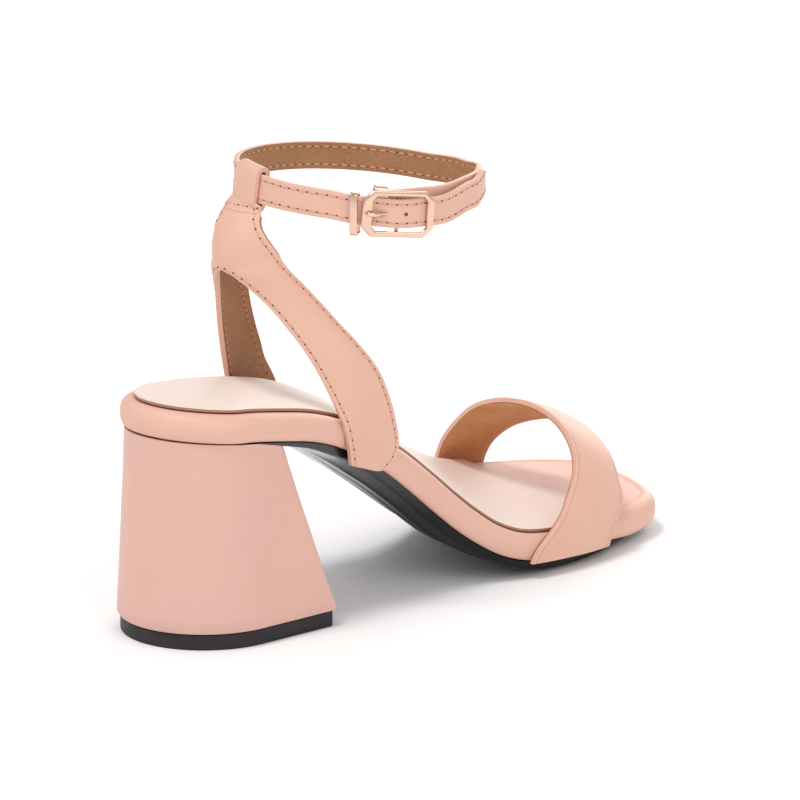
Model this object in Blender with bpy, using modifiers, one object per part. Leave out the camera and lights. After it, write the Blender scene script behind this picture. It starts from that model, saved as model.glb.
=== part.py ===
"""Block heel sandal with an ankle strap: the right shoe, built as separate pieces.

Units are metres, +Z is up, +Y points to the toe and +X to the outer (lateral) side of the foot.
The origin is the middle of the heel's flat floor face. The tables below are in millimetres,
because that is how a pattern maker reads them, and MM turns them into metres.
"""

import math
from collections import namedtuple

import bmesh
import bpy
from mathutils import Matrix, Vector

MM = 0.001
GAP = 0.3 * MM
MERGE = 0.00001
UP = Vector((0, 0, 1))

# Footbed: the outline and the height of its top edge, a row for each section from the seat to the
# toe. A section runs across the foot from the lateral to the medial edge, and it leans forward on
# the medial side as the ball line does. "edge" is the upright height of the wrapped rim.
HEEL_RADIUS = 27.2
HEEL_BACK_HEIGHT = 77.6
HEEL_ARC_ANGLES = (0, 16, 33, 51, 70)
STEPS_PER_ROW = 2
COLUMNS_ACROSS = 6

FootbedRow = namedtuple("FootbedRow", "lat_x lat_y lat_z med_x med_y med_z edge")
FOOTBED_ROWS = (
    FootbedRow(26.6, 0, 75.2, -26.6, 0, 76.4, 9.2),
    FootbedRow(26.7, 12, 73.3, -26.7, 15, 75.2, 9.2),
    FootbedRow(26.8, 25, 70.8, -26.7, 32, 72.6, 9.3),
    FootbedRow(26.8, 37, 67.0, -26.6, 48, 68.8, 9.8),
    FootbedRow(26.7, 49, 61.6, -26.5, 64, 62.2, 10.8),
    FootbedRow(26.6, 60, 55.2, -27.2, 79, 54.2, 12.0),
    FootbedRow(26.9, 70, 47.9, -29.2, 94, 45.6, 12.8),
    FootbedRow(27.8, 79, 40.2, -32.4, 108, 37.6, 13.0),
    FootbedRow(29.4, 87, 32.6, -36.4, 121, 30.6, 12.4),
    FootbedRow(31.6, 95, 25.4, -40.6, 133, 24.8, 11.2),
    FootbedRow(34.2, 103, 19.4, -44.4, 144, 20.6, 10.0),
    FootbedRow(36.7, 112, 15.6, -47.2, 155, 17.6, 9.2),
    FootbedRow(38.1, 124, 13.6, -48.3, 166, 15.4, 8.9),
    FootbedRow(38.1, 138, 12.9, -46.6, 177, 14.2, 8.5),
    FootbedRow(36.9, 151, 12.9, -42.4, 187, 13.8, 8.0),
    FootbedRow(35.2, 163, 13.3, -36.6, 195.2, 13.7, 7.6),
    FootbedRow(33.1, 173.5, 13.7, -29.8, 201, 13.8, 7.3),
    FootbedRow(30.2, 182, 13.9, -22.4, 204.2, 13.9, 7.1),
    FootbedRow(25.6, 188.6, 14.0, -14.8, 204.8, 14.0, 7.0),
    FootbedRow(19.4, 193.2, 14.0, -7.4, 203.4, 14.0, 7.0),
    FootbedRow(12.2, 197.2, 14.0, 0.0, 201.6, 14.0, 7.0),
    FootbedRow(5.8, 199.8, 14.0, 5.8, 199.8, 14.0, 7.0),
)

# The rim's rounded edge, as inset from the outline and drop from its top. A drop above 1 is
# counted from the bottom: 2.0 is the bottom itself, 1.9 is a tenth of the edge above it.
SOCK_INSET = 4.6
UNDERSIDE_INSET = 2.4
RIM_PROFILE = ((SOCK_INSET, 0.0), (2.3, 0.05), (0.7, 0.19), (0.0, 0.45), (0.0, 1.72), (0.7, 1.92),
               (UNDERSIDE_INSET, 2.0))

# Insole (the beige sock on the footbed), cut off straight across under the toe strap.
SOCK_THICKNESS = 1.2
SOCK_EDGE_ROUND = 0.4
SOCK_FRONT = 163.0

# Outsole: skived to nothing under the seat, crowned under the waist, flat where it meets the floor.
SOLE_FIRST_STATION = 10
SOLE_INSET = 1.5
SOLE_THICKNESS = 2.9
SOLE_SKIVE = 0.4
SOLE_SKIVE_STATIONS = 5
SOLE_CROWN_FIRST_STATION = 12
SOLE_CROWN_WAIST = 5.6
SOLE_CROWN_BALL = 3.6
SOLE_CROWN_SHAPE = (0.0, 0.72, 1.0, 1.0, 1.0, 0.72, 0.0)

# Heel block and its floor piece: a row for each level, 0 at the bottom and 1 under the seat.
LIFT_HEIGHT = 5.2
LIFT_INSET = 1.1
HeelRow = namedtuple("HeelRow", "level back side breast_side breast_y")
HEEL_ROWS = (
    HeelRow(0.0, 28.7, 28.6, 30.2, 29.6),
    HeelRow(0.015, 29.3, 29.2, 30.8, 30.1),
    HeelRow(0.25, 28.5, 28.2, 29.2, 25.8),
    HeelRow(0.5, 27.7, 27.3, 27.6, 21.4),
    HeelRow(0.75, 26.9, 26.4, 26.0, 16.8),
    HeelRow(1.0, 26.2, 25.7, 24.5, 12.3),
)
HEEL_ARC_STEPS = 7
HEEL_COLUMNS = 6
HEEL_CORNER = 1.6

# Toe strap: its two edges from the lateral hem over the instep to the medial hem.
STRAP_WALL = 1.8
RIM_CLEARANCE = 1.35
STRAP_LEAVES_RIM = 25.0
ToeStrapRow = namedtuple("ToeStrapRow", "back_x back_y back_z front_x front_y front_z bow")
TOE_STRAP_ROWS = (
    ToeStrapRow(37.4, 112.6, 5.6, 38.0, 150.4, 4.4, 2.0),
    ToeStrapRow(38.0, 116.0, 10.4, 37.9, 152.2, 8.6, 1.8),
    ToeStrapRow(38.3, 123.6, 17.4, 37.2, 155.2, 13.6, 1.5),
    ToeStrapRow(36.9, 131.6, 24.8, 35.2, 158.8, 19.0, 1.3),
    ToeStrapRow(33.3, 138.8, 32.5, 31.4, 162.0, 25.0, 1.2),
    ToeStrapRow(27.4, 143.2, 39.4, 25.2, 165.0, 30.8, 1.1),
    ToeStrapRow(18.6, 145.6, 45.4, 15.8, 168.0, 35.6, 1.0),
    ToeStrapRow(7.5, 146.2, 48.8, 5.0, 170.2, 38.4, 1.0),
    ToeStrapRow(-3.5, 146.0, 49.1, -6.0, 170.9, 38.4, 1.0),
    ToeStrapRow(-14.0, 146.2, 47.0, -16.0, 170.9, 36.2, 1.0),
    ToeStrapRow(-24.2, 147.2, 42.6, -26.2, 171.2, 32.2, 1.1),
    ToeStrapRow(-33.8, 149.2, 35.4, -35.2, 172.6, 26.6, 1.2),
    ToeStrapRow(-41.8, 151.2, 27.6, -42.2, 174.8, 20.6, 1.3),
    ToeStrapRow(-46.6, 152.8, 20.2, -46.4, 176.4, 14.6, 1.3),
    ToeStrapRow(-48.4, 152.8, 13.6, -47.4, 177.0, 9.4, 1.2),
    ToeStrapRow(-48.6, 152.6, 8.8, -47.4, 177.2, 6.2, 1.0),
)
TOE_STRAP_COLUMNS = 4

# Heel sling: the back and the front edge of one leg from its hem up to the neck, on the lateral
# side. The other leg is its mirror image. From the crotch up the back edge is the centre line.
# "bow" is how far the leather bulges between the two edges. The medial hem sits higher by
# "medial_rise", because the footbed's medial edge does.
SlingRow = namedtuple("SlingRow", "back_x back_y back_z front_x front_y front_z bow medial_rise")
SLING_ROWS = (
    SlingRow(28.1, 37.8, 52.0, 28.3, 54.6, 46.2, 0.0, 7.2),
    SlingRow(28.2, 36.9, 57.8, 28.7, 58.6, 54.8, 0.2, 5.4),
    SlingRow(27.4, 35.4, 65.5, 29.4, 56.4, 64.8, 0.6, 3.2),
    SlingRow(25.4, 32.6, 73.8, 30.0, 52.6, 74.2, 1.2, 1.4),
    SlingRow(22.9, 29.1, 82.5, 28.6, 49.2, 82.4, 1.7, 0.4),
    SlingRow(19.9, 25.4, 90.6, 25.3, 44.0, 90.6, 2.0, 0.0),
    SlingRow(16.4, 21.6, 97.8, 21.2, 38.6, 98.2, 2.2, 0.0),
    SlingRow(12.4, 17.6, 104.8, 17.4, 33.8, 105.2, 2.4, 0.0),
    SlingRow(8.3, 13.7, 110.6, 14.6, 29.0, 111.4, 2.9, 0.0),
    SlingRow(4.0, 9.9, 115.4, 13.0, 24.0, 117.2, 3.2, 0.0),
    SlingRow(0.0, 8.4, 117.6, 12.3, 20.6, 122.4, 2.9, 0.0),
    SlingRow(0.0, 8.9, 124.6, 10.9, 17.0, 128.0, 1.7, 0.0),
    SlingRow(0.0, 12.6, 131.4, 9.0, 16.4, 132.4, 0.8, 0.0),
    SlingRow(0.0, 18.2, 137.4, 7.4, 18.6, 137.3, 0.2, 0.0),
)
CROTCH_ROW = 10
SLING_COLUMNS = 4
SLING_CURVE_STEPS = 2

# Ankle strap: an oval ring seen from above, which sags a little towards the front and the buckle.
RING_CENTRE = Vector((10.1 * MM, 60.7 * MM, 0))
RING_RADII = (37.9 * MM, 41.2 * MM)
RING_TURN = math.radians(-17)
RING_HEIGHT = 140.8 * MM
RING_SLOPE_X = -0.085
RING_SLOPE_Y = -0.058
RING_SLOPE_FROM_Y = 60 * MM
STRAP_WIDTH = 9.2 * MM
STRAP_THICKNESS = 1.8 * MM
STRAP_STEP = 5.0
TAB_ANGLE = 273.0
BUCKLE_ANGLE = 351.0

# The strap is one piece of leather that runs round the ankle once and overlaps itself. A row says
# how far out of the ring's line and how high its middle runs at an angle round the ring.
StrapRow = namedtuple("StrapRow", "angle out rise")
STRAP_ROWS = (
    StrapRow(-18.0, -1.9, 1.2),
    StrapRow(10.0, -2.1, 2.4),
    StrapRow(40.0, -2.3, 4.2),
    StrapRow(66.0, -2.3, 4.2),
    StrapRow(98.0, -0.7, 1.4),
    StrapRow(125.0, 0.0, 0.0),
    StrapRow(318.0, 0.0, 0.0),
    StrapRow(334.0, 1.7, -0.5),
    StrapRow(351.0, 1.9, -1.0),
    StrapRow(368.0, 1.6, -0.3),
    StrapRow(395.0, 0.3, 3.0),
    StrapRow(412.0, -0.1, 5.4),
)

# The sling's tab, a sleeve of leather round the ankle strap.
TAB_HALF_ANGLE = 9.5
TAB_WALL = 1.6 * MM
TAB_PLAY = 0.35 * MM
TAB_LEAN = 0.2
TAB_LEAN_SPREAD = 34.0

# Buckle: a frame with cut corners, its hidden centre bar, the prong, a keeper and a link.
FRAME_LENGTH = 24.4 * MM
FRAME_HEIGHT = 15.0 * MM
FRAME_BAR = 1.85 * MM
FRAME_LEFT_BAR = 3.5 * MM
FRAME_RIGHT_BAR = 2.5 * MM
FRAME_CORNER = 3.2 * MM
FRAME_CORNER_INSIDE = 1.4 * MM
FRAME_THICKNESS = 1.5 * MM
FRAME_LIFT = 1.75 * MM
FRAME_SHIFT = -0.7 * MM
FRAME_DROP = 1.0 * MM
FRAME_BEVEL = 0.35 * MM
BAR_RADIUS = 0.65 * MM
PRONG_RADIUS = 0.85 * MM
PRONG_SLOT_PLAY = 0.45 * MM
SLEEVE_WALL = 0.8 * MM
SLEEVE_PLAY = 0.4 * MM
KEEPER_SPAN = (-15.0 * MM, -12.7 * MM)
KEEPER_SIZE = (6.2 * MM, 1.3 * MM)
KEEPER_SKEW = 0.8
LINK_SPAN = (-7.4 * MM, -3.0 * MM)
LINK_SIZE = (5.8 * MM, 0.6 * MM)
HOLE_RADIUS = 0.8 * MM
HOLE_AT = 1.8 * MM

COLOURS = {
    "peach_leather": ((0.80, 0.48, 0.37), 0.42, 0.0),
    "beige_leather": ((0.81, 0.69, 0.61), 0.5, 0.0),
    "black_rubber": ((0.018, 0.017, 0.018), 0.32, 0.0),
    "rose_gold": ((0.86, 0.52, 0.36), 0.22, 1.0),
}


def clear_scene():
    for thing in list(bpy.data.objects):
        bpy.data.objects.remove(thing, do_unlink=True)


def new_collection(name):
    made = bpy.data.collections.new(name)
    bpy.context.scene.collection.children.link(made)
    return made


def material(name, node):
    """Each node has its own material, from the colour, roughness and metallic value of its stuff."""
    colour, roughness, metallic = COLOURS[name]
    made = bpy.data.materials.new(f"{node}_{name}")
    made.use_nodes = True
    shader = made.node_tree.nodes["Principled BSDF"]
    shader.inputs["Base Color"].default_value = (*colour, 1)
    shader.inputs["Roughness"].default_value = roughness
    shader.inputs["Metallic"].default_value = metallic
    return made


def add_object(name, mesh, stuff, collection):
    mesh.shade_smooth()
    mesh.set_sharp_from_angle(angle=math.radians(40))
    made = bpy.data.objects.new(name, mesh)
    if stuff:
        mesh.materials.append(material(stuff, name))
    collection.objects.link(made)
    return made


def mesh_from_bmesh(name, shape):
    bmesh.ops.remove_doubles(shape, verts=shape.verts, dist=MERGE)
    bmesh.ops.recalc_face_normals(shape, faces=shape.faces)
    mesh = bpy.data.meshes.new(name)
    shape.to_mesh(mesh)
    shape.free()
    return mesh


def mesh_from_curve(thing):
    """The closed mesh of a curve object, in world space. The curve is removed."""
    graph = bpy.context.evaluated_depsgraph_get()
    mesh = bpy.data.meshes.new_from_object(thing.evaluated_get(graph))
    mesh.transform(thing.matrix_world)
    shape = bmesh.new()
    shape.from_mesh(mesh)
    bmesh.ops.remove_doubles(shape, verts=shape.verts, dist=MERGE)
    bmesh.ops.recalc_face_normals(shape, faces=shape.faces)
    shape.to_mesh(mesh)
    shape.free()
    mesh.materials.clear()
    bpy.data.objects.remove(thing, do_unlink=True)
    return mesh


def boolean(target, tool, operation):
    tool.hide_render = True
    tool.display_type = "WIRE"
    cut = target.modifiers.new(f"{operation.lower()}_{tool.name}", "BOOLEAN")
    cut.operation = operation
    cut.object = tool


def spline_row(rows, t):
    """A Catmull-Rom curve through the rows of a table, read at row number t."""
    last = len(rows) - 1
    i = min(int(t), last - 1)
    f = t - i
    before = rows[max(i - 1, 0)]
    start = rows[i]
    end = rows[i + 1]
    after = rows[min(i + 2, last)]
    read = []
    for a, b, c, d in zip(before, start, end, after):
        bend = 2 * a - 5 * b + 4 * c - d
        turn = 3 * b - a - 3 * c + d
        read.append(0.5 * (2 * b + (c - a) * f + bend * f * f + turn * f ** 3))
    return read


def height_along(edge, y):
    """The height of an edge line at a place along the foot."""
    for low, high in zip(edge, edge[1:]):
        if y <= high.y or high is edge[-1]:
            return low.z + (high.z - low.z) * (y - low.y) / (high.y - low.y)


def smooth(f):
    f = min(max(f, 0.0), 1.0)
    return f * f * (3 - 2 * f)


class Footbed:
    """The sampled outline: one station for each section, with its two edge points and normals."""

    def __init__(self):
        rows = [self.heel_row(math.radians(a)) for a in HEEL_ARC_ANGLES] + list(FOOTBED_ROWS)
        steps = (len(rows) - 1) * STEPS_PER_ROW
        sampled = [spline_row(rows, k / STEPS_PER_ROW) for k in range(steps + 1)]
        self.lateral = [Vector(r[0:3]) * MM for r in sampled]
        self.medial = [Vector(r[3:6]) * MM for r in sampled]
        self.edge = [r[6] * MM for r in sampled]
        self.last = steps
        loop = self.lateral + self.medial[-2:0:-1]
        normals = [self.normal(loop, k) for k in range(len(loop))]
        self.lateral_normal = normals[:steps + 1]
        self.medial_normal = [normals[0]] + normals[:steps - 1:-1]

    @staticmethod
    def heel_row(angle):
        seat = FOOTBED_ROWS[0]
        x = HEEL_RADIUS * math.sin(angle)
        y = -HEEL_RADIUS * math.cos(angle)
        f = math.cos(angle)
        lateral_z = seat.lat_z + (HEEL_BACK_HEIGHT - seat.lat_z) * f
        medial_z = seat.med_z + (HEEL_BACK_HEIGHT - seat.med_z) * f
        return FootbedRow(x, y, lateral_z, -x, y, medial_z, seat.edge)

    @staticmethod
    def normal(loop, k):
        along = loop[(k + 1) % len(loop)] - loop[k - 1]
        return Vector((along.y, -along.x, 0)).normalized()

    def point(self, side, k, inset, height):
        edge = self.lateral if side > 0 else self.medial
        normal = self.lateral_normal if side > 0 else self.medial_normal
        return edge[k] - normal[k] * inset + UP * height

    def side_x(self, side, y):
        """How far out the rim stands at a place along the foot."""
        edge = self.lateral if side > 0 else self.medial
        for a, b in zip(edge, edge[1:]):
            if a.y <= y <= b.y:
                return abs(a.x + (b.x - a.x) * (y - a.y) / (b.y - a.y))
        return 0.0

    def top_height(self, x, y):
        """The height of the seat's top edge level at a point, for what fits under the seat."""
        lateral = height_along(self.lateral, max(y, self.lateral[0].y))
        medial = height_along(self.medial, max(y, self.medial[0].y))
        f = 0.5 - 0.5 * x / (HEEL_RADIUS * MM)
        return lateral + (medial - lateral) * min(max(f, 0.0), 1.0)


def layer_mesh(name, bed, first, rings, crown=None, floor=None):
    """A closed slab that follows the footbed: rings of (inset, height per station), top to bottom.

    The first ring carries the top face and the last ring the bottom one. Both are grids between
    the two edges, so that layers with the same inset lie evenly on each other.
    """
    shape = bmesh.new()
    stations = range(first, bed.last + 1)

    def place(point):
        if floor is not None:
            point.z = max(point.z, floor)
        return shape.verts.new(point)

    loops = []
    for inset, heights in rings:
        out = [place(bed.point(1, k, inset, heights[k])) for k in stations]
        back = [place(bed.point(-1, k, inset, heights[k])) for k in stations]
        loops.append((out, back))
    for upper, lower in zip(loops, loops[1:]):
        for side in (0, 1):
            for a in range(len(stations) - 1):
                shape.faces.new((upper[side][a], upper[side][a + 1],
                                 lower[side][a + 1], lower[side][a]))
    ends = []
    for (out, back), shift in ((loops[0], None), (loops[-1], crown)):
        grid = []
        for a, k in enumerate(stations):
            row = [out[a]]
            for column in range(1, COLUMNS_ACROSS):
                f = column / COLUMNS_ACROSS
                point = out[a].co.lerp(back[a].co, f)
                if shift:
                    point.z -= shift[k] * SOLE_CROWN_SHAPE[column]
                row.append(place(point))
            row.append(back[a])
            grid.append(row)
        for low, high in zip(grid, grid[1:]):
            for column in range(COLUMNS_ACROSS):
                shape.faces.new((low[column], low[column + 1], high[column + 1], high[column]))
        ends.append(grid)
    if first > 0:
        sides = [[pair[side][0] for pair in loops] for side in (0, 1)]
        shape.faces.new(ends[0][0] + sides[1][1:-1] + ends[1][0][::-1] + sides[0][-2:0:-1])
    drop_flat_faces(shape)
    return mesh_from_bmesh(name, shape)


def drop_flat_faces(shape):
    """Where the two edges meet at the heel's back and at the toe, the rows shrink to a point."""
    bmesh.ops.remove_doubles(shape, verts=shape.verts, dist=MERGE)
    bmesh.ops.dissolve_degenerate(shape, edges=shape.edges, dist=MERGE)


def footbed_rings(bed):
    rings = []
    for inset, drop in RIM_PROFILE:
        share = drop if drop <= 1 else drop - 1
        rings.append((inset * MM, [-edge * share for edge in bed.edge]))
    return rings


def slope_factor(bed):
    """How much taller an upright thickness is on the sloping waist than on the flat."""
    seat = bed.edge[0]
    return [max(edge / seat, 1.0) for edge in bed.edge]


def build_footbed(bed, parts):
    mesh = layer_mesh("footbed", bed, 0, footbed_rings(bed))
    return add_object("footbed", mesh, "peach_leather", parts)


def build_insole(bed, parts, cutters):
    factor = slope_factor(bed)
    low = [GAP * f for f in factor]
    high = [GAP * f + SOCK_THICKNESS * MM for f in factor]
    soft = [h - SOCK_EDGE_ROUND * MM for h in high]
    rings = (((SOCK_INSET + SOCK_EDGE_ROUND) * MM, high), (SOCK_INSET * MM, soft),
             (SOCK_INSET * MM, low))
    insole = add_object("insole", layer_mesh("insole", bed, 0, rings), "beige_leather", parts)
    box = bmesh.new()
    bmesh.ops.create_cube(box, size=1.0)
    size = 200 * MM
    bmesh.ops.transform(box, verts=box.verts, matrix=Matrix.Diagonal((size, size, size, 1)))
    bmesh.ops.translate(box, verts=box.verts, vec=(0, SOCK_FRONT * MM + size / 2, 0))
    cutter = add_object("toe_end_cutter", mesh_from_bmesh("toe_end_cutter", box), None, cutters)
    boolean(insole, cutter, "DIFFERENCE")
    return insole


def sole_thickness(k, factor):
    full = SOLE_THICKNESS * MM
    f = min((k - SOLE_FIRST_STATION) / SOLE_SKIVE_STATIONS, 1.0)
    return (SOLE_SKIVE * MM + (full - SOLE_SKIVE * MM) * max(f, 0.0)) * factor


def build_outsole(bed, parts):
    factor = slope_factor(bed)
    stations = range(bed.last + 1)
    top = [-bed.edge[k] - GAP * factor[k] for k in stations]
    thick = [sole_thickness(k, factor[k]) for k in stations]
    low = [top[k] - thick[k] * 0.7 for k in stations]
    bottom = [top[k] - thick[k] for k in stations]
    crown = []
    for k in stations:
        waist = smooth((bed.lateral[k].z - 20 * MM) / (25 * MM))
        height = SOLE_CROWN_BALL + (SOLE_CROWN_WAIST - SOLE_CROWN_BALL) * waist
        start = smooth((k - SOLE_CROWN_FIRST_STATION) / 6)
        crown.append(height * MM * start * smooth((bed.last - k) / 8))
    rings = ((UNDERSIDE_INSET * MM, top), (SOLE_INSET * MM, top), (SOLE_INSET * MM, low),
             ((SOLE_INSET + 1.0) * MM, bottom))
    mesh = layer_mesh("outsole", bed, SOLE_FIRST_STATION, rings, crown=crown, floor=0.0)
    return add_object("outsole", mesh, "black_rubber", parts)


def heel_outline(row, inset=0.0):
    """Half of the heel's plan from its back to the breast's corner, as (x, y) in millimetres."""
    back = row.back - inset
    side = row.side - inset
    breast_side = row.breast_side - inset
    breast_y = row.breast_y - inset
    half = []
    for k in range(HEEL_ARC_STEPS + 1):
        angle = math.pi / 2 * k / HEEL_ARC_STEPS
        half.append((side * math.sin(angle), -back * math.cos(angle)))
    for f in (0.45, 1.0 - HEEL_CORNER / breast_y):
        half.append((side + (breast_side - side) * f, breast_y * f))
    half.append((breast_side - 0.3 * HEEL_CORNER, breast_y - 0.3 * HEEL_CORNER))
    half.append((breast_side - HEEL_CORNER, breast_y))
    return half


def heel_grid(shape, half, height):
    """A level of the heel as rows across it, from its back to the breast."""
    grid = []
    for x, y in half:
        row = []
        for column in range(HEEL_COLUMNS + 1):
            across = x * MM * (1 - 2 * column / HEEL_COLUMNS)
            row.append(shape.verts.new((across, y * MM, height(across, y * MM))))
        grid.append(row)
    return grid


def stack_levels(name, outlines, heights):
    shape = bmesh.new()
    levels = []
    for i, (half, height) in enumerate(zip(outlines, heights)):
        if i in (0, len(outlines) - 1):
            grid = heel_grid(shape, half, height)
            for low, high in zip(grid, grid[1:]):
                for a in range(HEEL_COLUMNS):
                    shape.faces.new((low[a], low[a + 1], high[a + 1], high[a]))
            right = [row[0] for row in grid]
            left = [row[-1] for row in grid]
            front = grid[-1][1:-1]
        else:
            right = [shape.verts.new((x * MM, y * MM, height(x * MM, y * MM))) for x, y in half]
            left = [shape.verts.new((-x * MM, y * MM, height(-x * MM, y * MM))) for x, y in half]
            x, y = half[-1]
            front = []
            for column in range(1, HEEL_COLUMNS):
                across = x * MM * (1 - 2 * column / HEEL_COLUMNS)
                front.append(shape.verts.new((across, y * MM, height(across, y * MM))))
        levels.append(right + front + left[::-1])
    for low, high in zip(levels, levels[1:]):
        for a in range(len(low) - 1):
            shape.faces.new((low[a], low[a + 1], high[a + 1], high[a]))
    drop_flat_faces(shape)
    return mesh_from_bmesh(name, shape)


def build_heel(bed, parts):
    factor_station = SOLE_FIRST_STATION
    wedge_start = bed.lateral[factor_station].y - 1.5 * MM
    wedge_end = bed.lateral[factor_station + SOLE_SKIVE_STATIONS].y

    def seat(x, y):
        under = bed.top_height(x, y) - bed.edge[0] - 2 * GAP
        if y < wedge_start:
            return under + GAP * 0.6
        f = (y - wedge_start) / (wedge_end - wedge_start)
        return under - GAP - (SOLE_SKIVE + (SOLE_THICKNESS - SOLE_SKIVE + 0.4) * f) * MM

    foot = LIFT_HEIGHT * MM + GAP
    heights = []
    for row in HEEL_ROWS:
        heights.append(lambda x, y, level=row.level: foot + (seat(x, y) - foot) * level)
    outlines = [heel_outline(row) for row in HEEL_ROWS]
    mesh = stack_levels("heel_block", outlines, heights)
    block = add_object("heel_block", mesh, "peach_leather", parts)

    outline = heel_outline(HEEL_ROWS[1], LIFT_INSET)
    flat = [lambda x, y: 0.0, lambda x, y: LIFT_HEIGHT * MM]
    lift_mesh = stack_levels("top_lift", [outline, outline], flat)
    return block, add_object("top_lift", lift_mesh, "black_rubber", parts)


def sheet_object(name, grid, parts):
    """A leather strap from a grid of points on its middle surface, with its real wall."""
    shape = bmesh.new()
    rows = [[shape.verts.new(point) for point in row] for row in grid]
    for low, high in zip(rows, rows[1:]):
        for a in range(len(low) - 1):
            shape.faces.new((low[a], low[a + 1], high[a + 1], high[a]))
    thing = add_object(name, mesh_from_bmesh(name, shape), "peach_leather", parts)
    wall = thing.modifiers.new("wall", "SOLIDIFY")
    wall.thickness = STRAP_WALL * MM
    wall.offset = 0
    wall.use_even_offset = True
    return thing


def toe_strap_point(bed, row, f):
    back = Vector((row.back_x, row.back_y, row.back_z)) * MM
    front = Vector((row.front_x, row.front_y, row.front_z)) * MM
    point = back.lerp(front, f)
    away = Vector((point.x, 0, max(point.z - 12 * MM, 0) * 1.2)).normalized()
    point += away * row.bow * MM * 4 * f * (1 - f)
    side = 1 if point.x > 0 else -1
    rim = bed.side_x(side, point.y) + RIM_CLEARANCE * MM
    hold = smooth((STRAP_LEAVES_RIM * MM - point.z) / (9 * MM))
    if abs(point.x) < rim:
        point.x += side * (rim - abs(point.x)) * hold
    return point


def build_toe_strap(bed, parts):
    steps = (len(TOE_STRAP_ROWS) - 1) * 2
    grid = []
    for k in range(steps + 1):
        row = ToeStrapRow(*spline_row(TOE_STRAP_ROWS, k / 2))
        columns = range(TOE_STRAP_COLUMNS + 1)
        grid.append([toe_strap_point(bed, row, c / TOE_STRAP_COLUMNS) for c in columns])
    return sheet_object("toe_strap", grid, parts)


def sling_grid(side):
    grid = []
    steps = (len(SLING_ROWS) - 1) * SLING_CURVE_STEPS
    for k in range(steps + 1):
        row = SlingRow(*spline_row(SLING_ROWS, k / SLING_CURVE_STEPS))
        back = Vector((row.back_x, row.back_y, row.back_z))
        front = Vector((row.front_x, row.front_y, row.front_z))
        if k >= CROTCH_ROW * SLING_CURVE_STEPS:
            back.x = 0.0
        away = (front - back).cross(UP).normalized()
        rise = 0.0 if side > 0 else max(row.medial_rise, 0.0)
        points = []
        for column in range(SLING_COLUMNS + 1):
            f = column / SLING_COLUMNS
            point = back.lerp(front, f) + away * row.bow * 4 * f * (1 - f)
            points.append(Vector((side * point.x, point.y, point.z + rise)) * MM)
        grid.append(points)
    return grid


def build_sling(parts, cutters):
    shape = bmesh.new()
    for side in (1, -1):
        rows = [[shape.verts.new(point) for point in row] for row in sling_grid(side)]
        for low, high in zip(rows, rows[1:]):
            for a in range(SLING_COLUMNS):
                shape.faces.new((low[a], low[a + 1], high[a + 1], high[a]))
    drop_flat_faces(shape)
    sling = add_object("heel_sling", mesh_from_bmesh("heel_sling", shape), "peach_leather", parts)
    wall = sling.modifiers.new("wall", "SOLIDIFY")
    wall.thickness = STRAP_WALL * MM
    wall.offset = 0
    wall.use_even_offset = True
    half_height = STRAP_WIDTH / 2 + TAB_PLAY
    half_depth = STRAP_THICKNESS / 2 + TAB_PLAY
    span = (TAB_ANGLE - TAB_HALF_ANGLE, TAB_ANGLE + TAB_HALF_ANGLE)
    tab_mesh = sleeve_mesh("sling_tab", span, 0.0, 0.0, half_height, half_depth, TAB_WALL)
    tab = add_object("sling_tab", tab_mesh, None, cutters)
    boolean(sling, tab, "UNION")
    return sling


def ring_axes(angle):
    """The point, the direction and the outward normal of the ankle ring at an angle in degrees."""
    turn = math.radians(angle)
    spin = Matrix.Rotation(RING_TURN, 3, "Z")
    a, b = RING_RADII
    point = RING_CENTRE + spin @ Vector((a * math.cos(turn), b * math.sin(turn), 0))
    along = (spin @ Vector((-a * math.sin(turn), b * math.cos(turn), 0))).normalized()
    outward = along.cross(UP)
    slope = RING_SLOPE_X * point.x + RING_SLOPE_Y * (point.y - RING_SLOPE_FROM_Y)
    point.z = RING_HEIGHT + slope
    return point, along, outward


def ring_point(angle, out, rise):
    """A point on the ring. The sling pulls the strap's lower edge back where its tab holds it."""
    point, _, outward = ring_axes(angle)
    lean = TAB_LEAN * smooth(1 - abs(angle - TAB_ANGLE) / TAB_LEAN_SPREAD)
    return point + outward * (out - lean * rise) + UP * rise


def angle_at(distance):
    """The ring angle at a distance along the strap from the buckle's middle."""
    return BUCKLE_ANGLE + math.degrees(distance / RING_RADII[1])


def strap_section(angle):
    """How far out and how high the strap runs at an angle, eased between the table's rows."""
    for low, high in zip(STRAP_ROWS, STRAP_ROWS[1:]):
        if angle <= high.angle or high is STRAP_ROWS[-1]:
            f = smooth((angle - low.angle) / (high.angle - low.angle))
            out = low.out + (high.out - low.out) * f
            return out * MM, (low.rise + (high.rise - low.rise) * f) * MM


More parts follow.
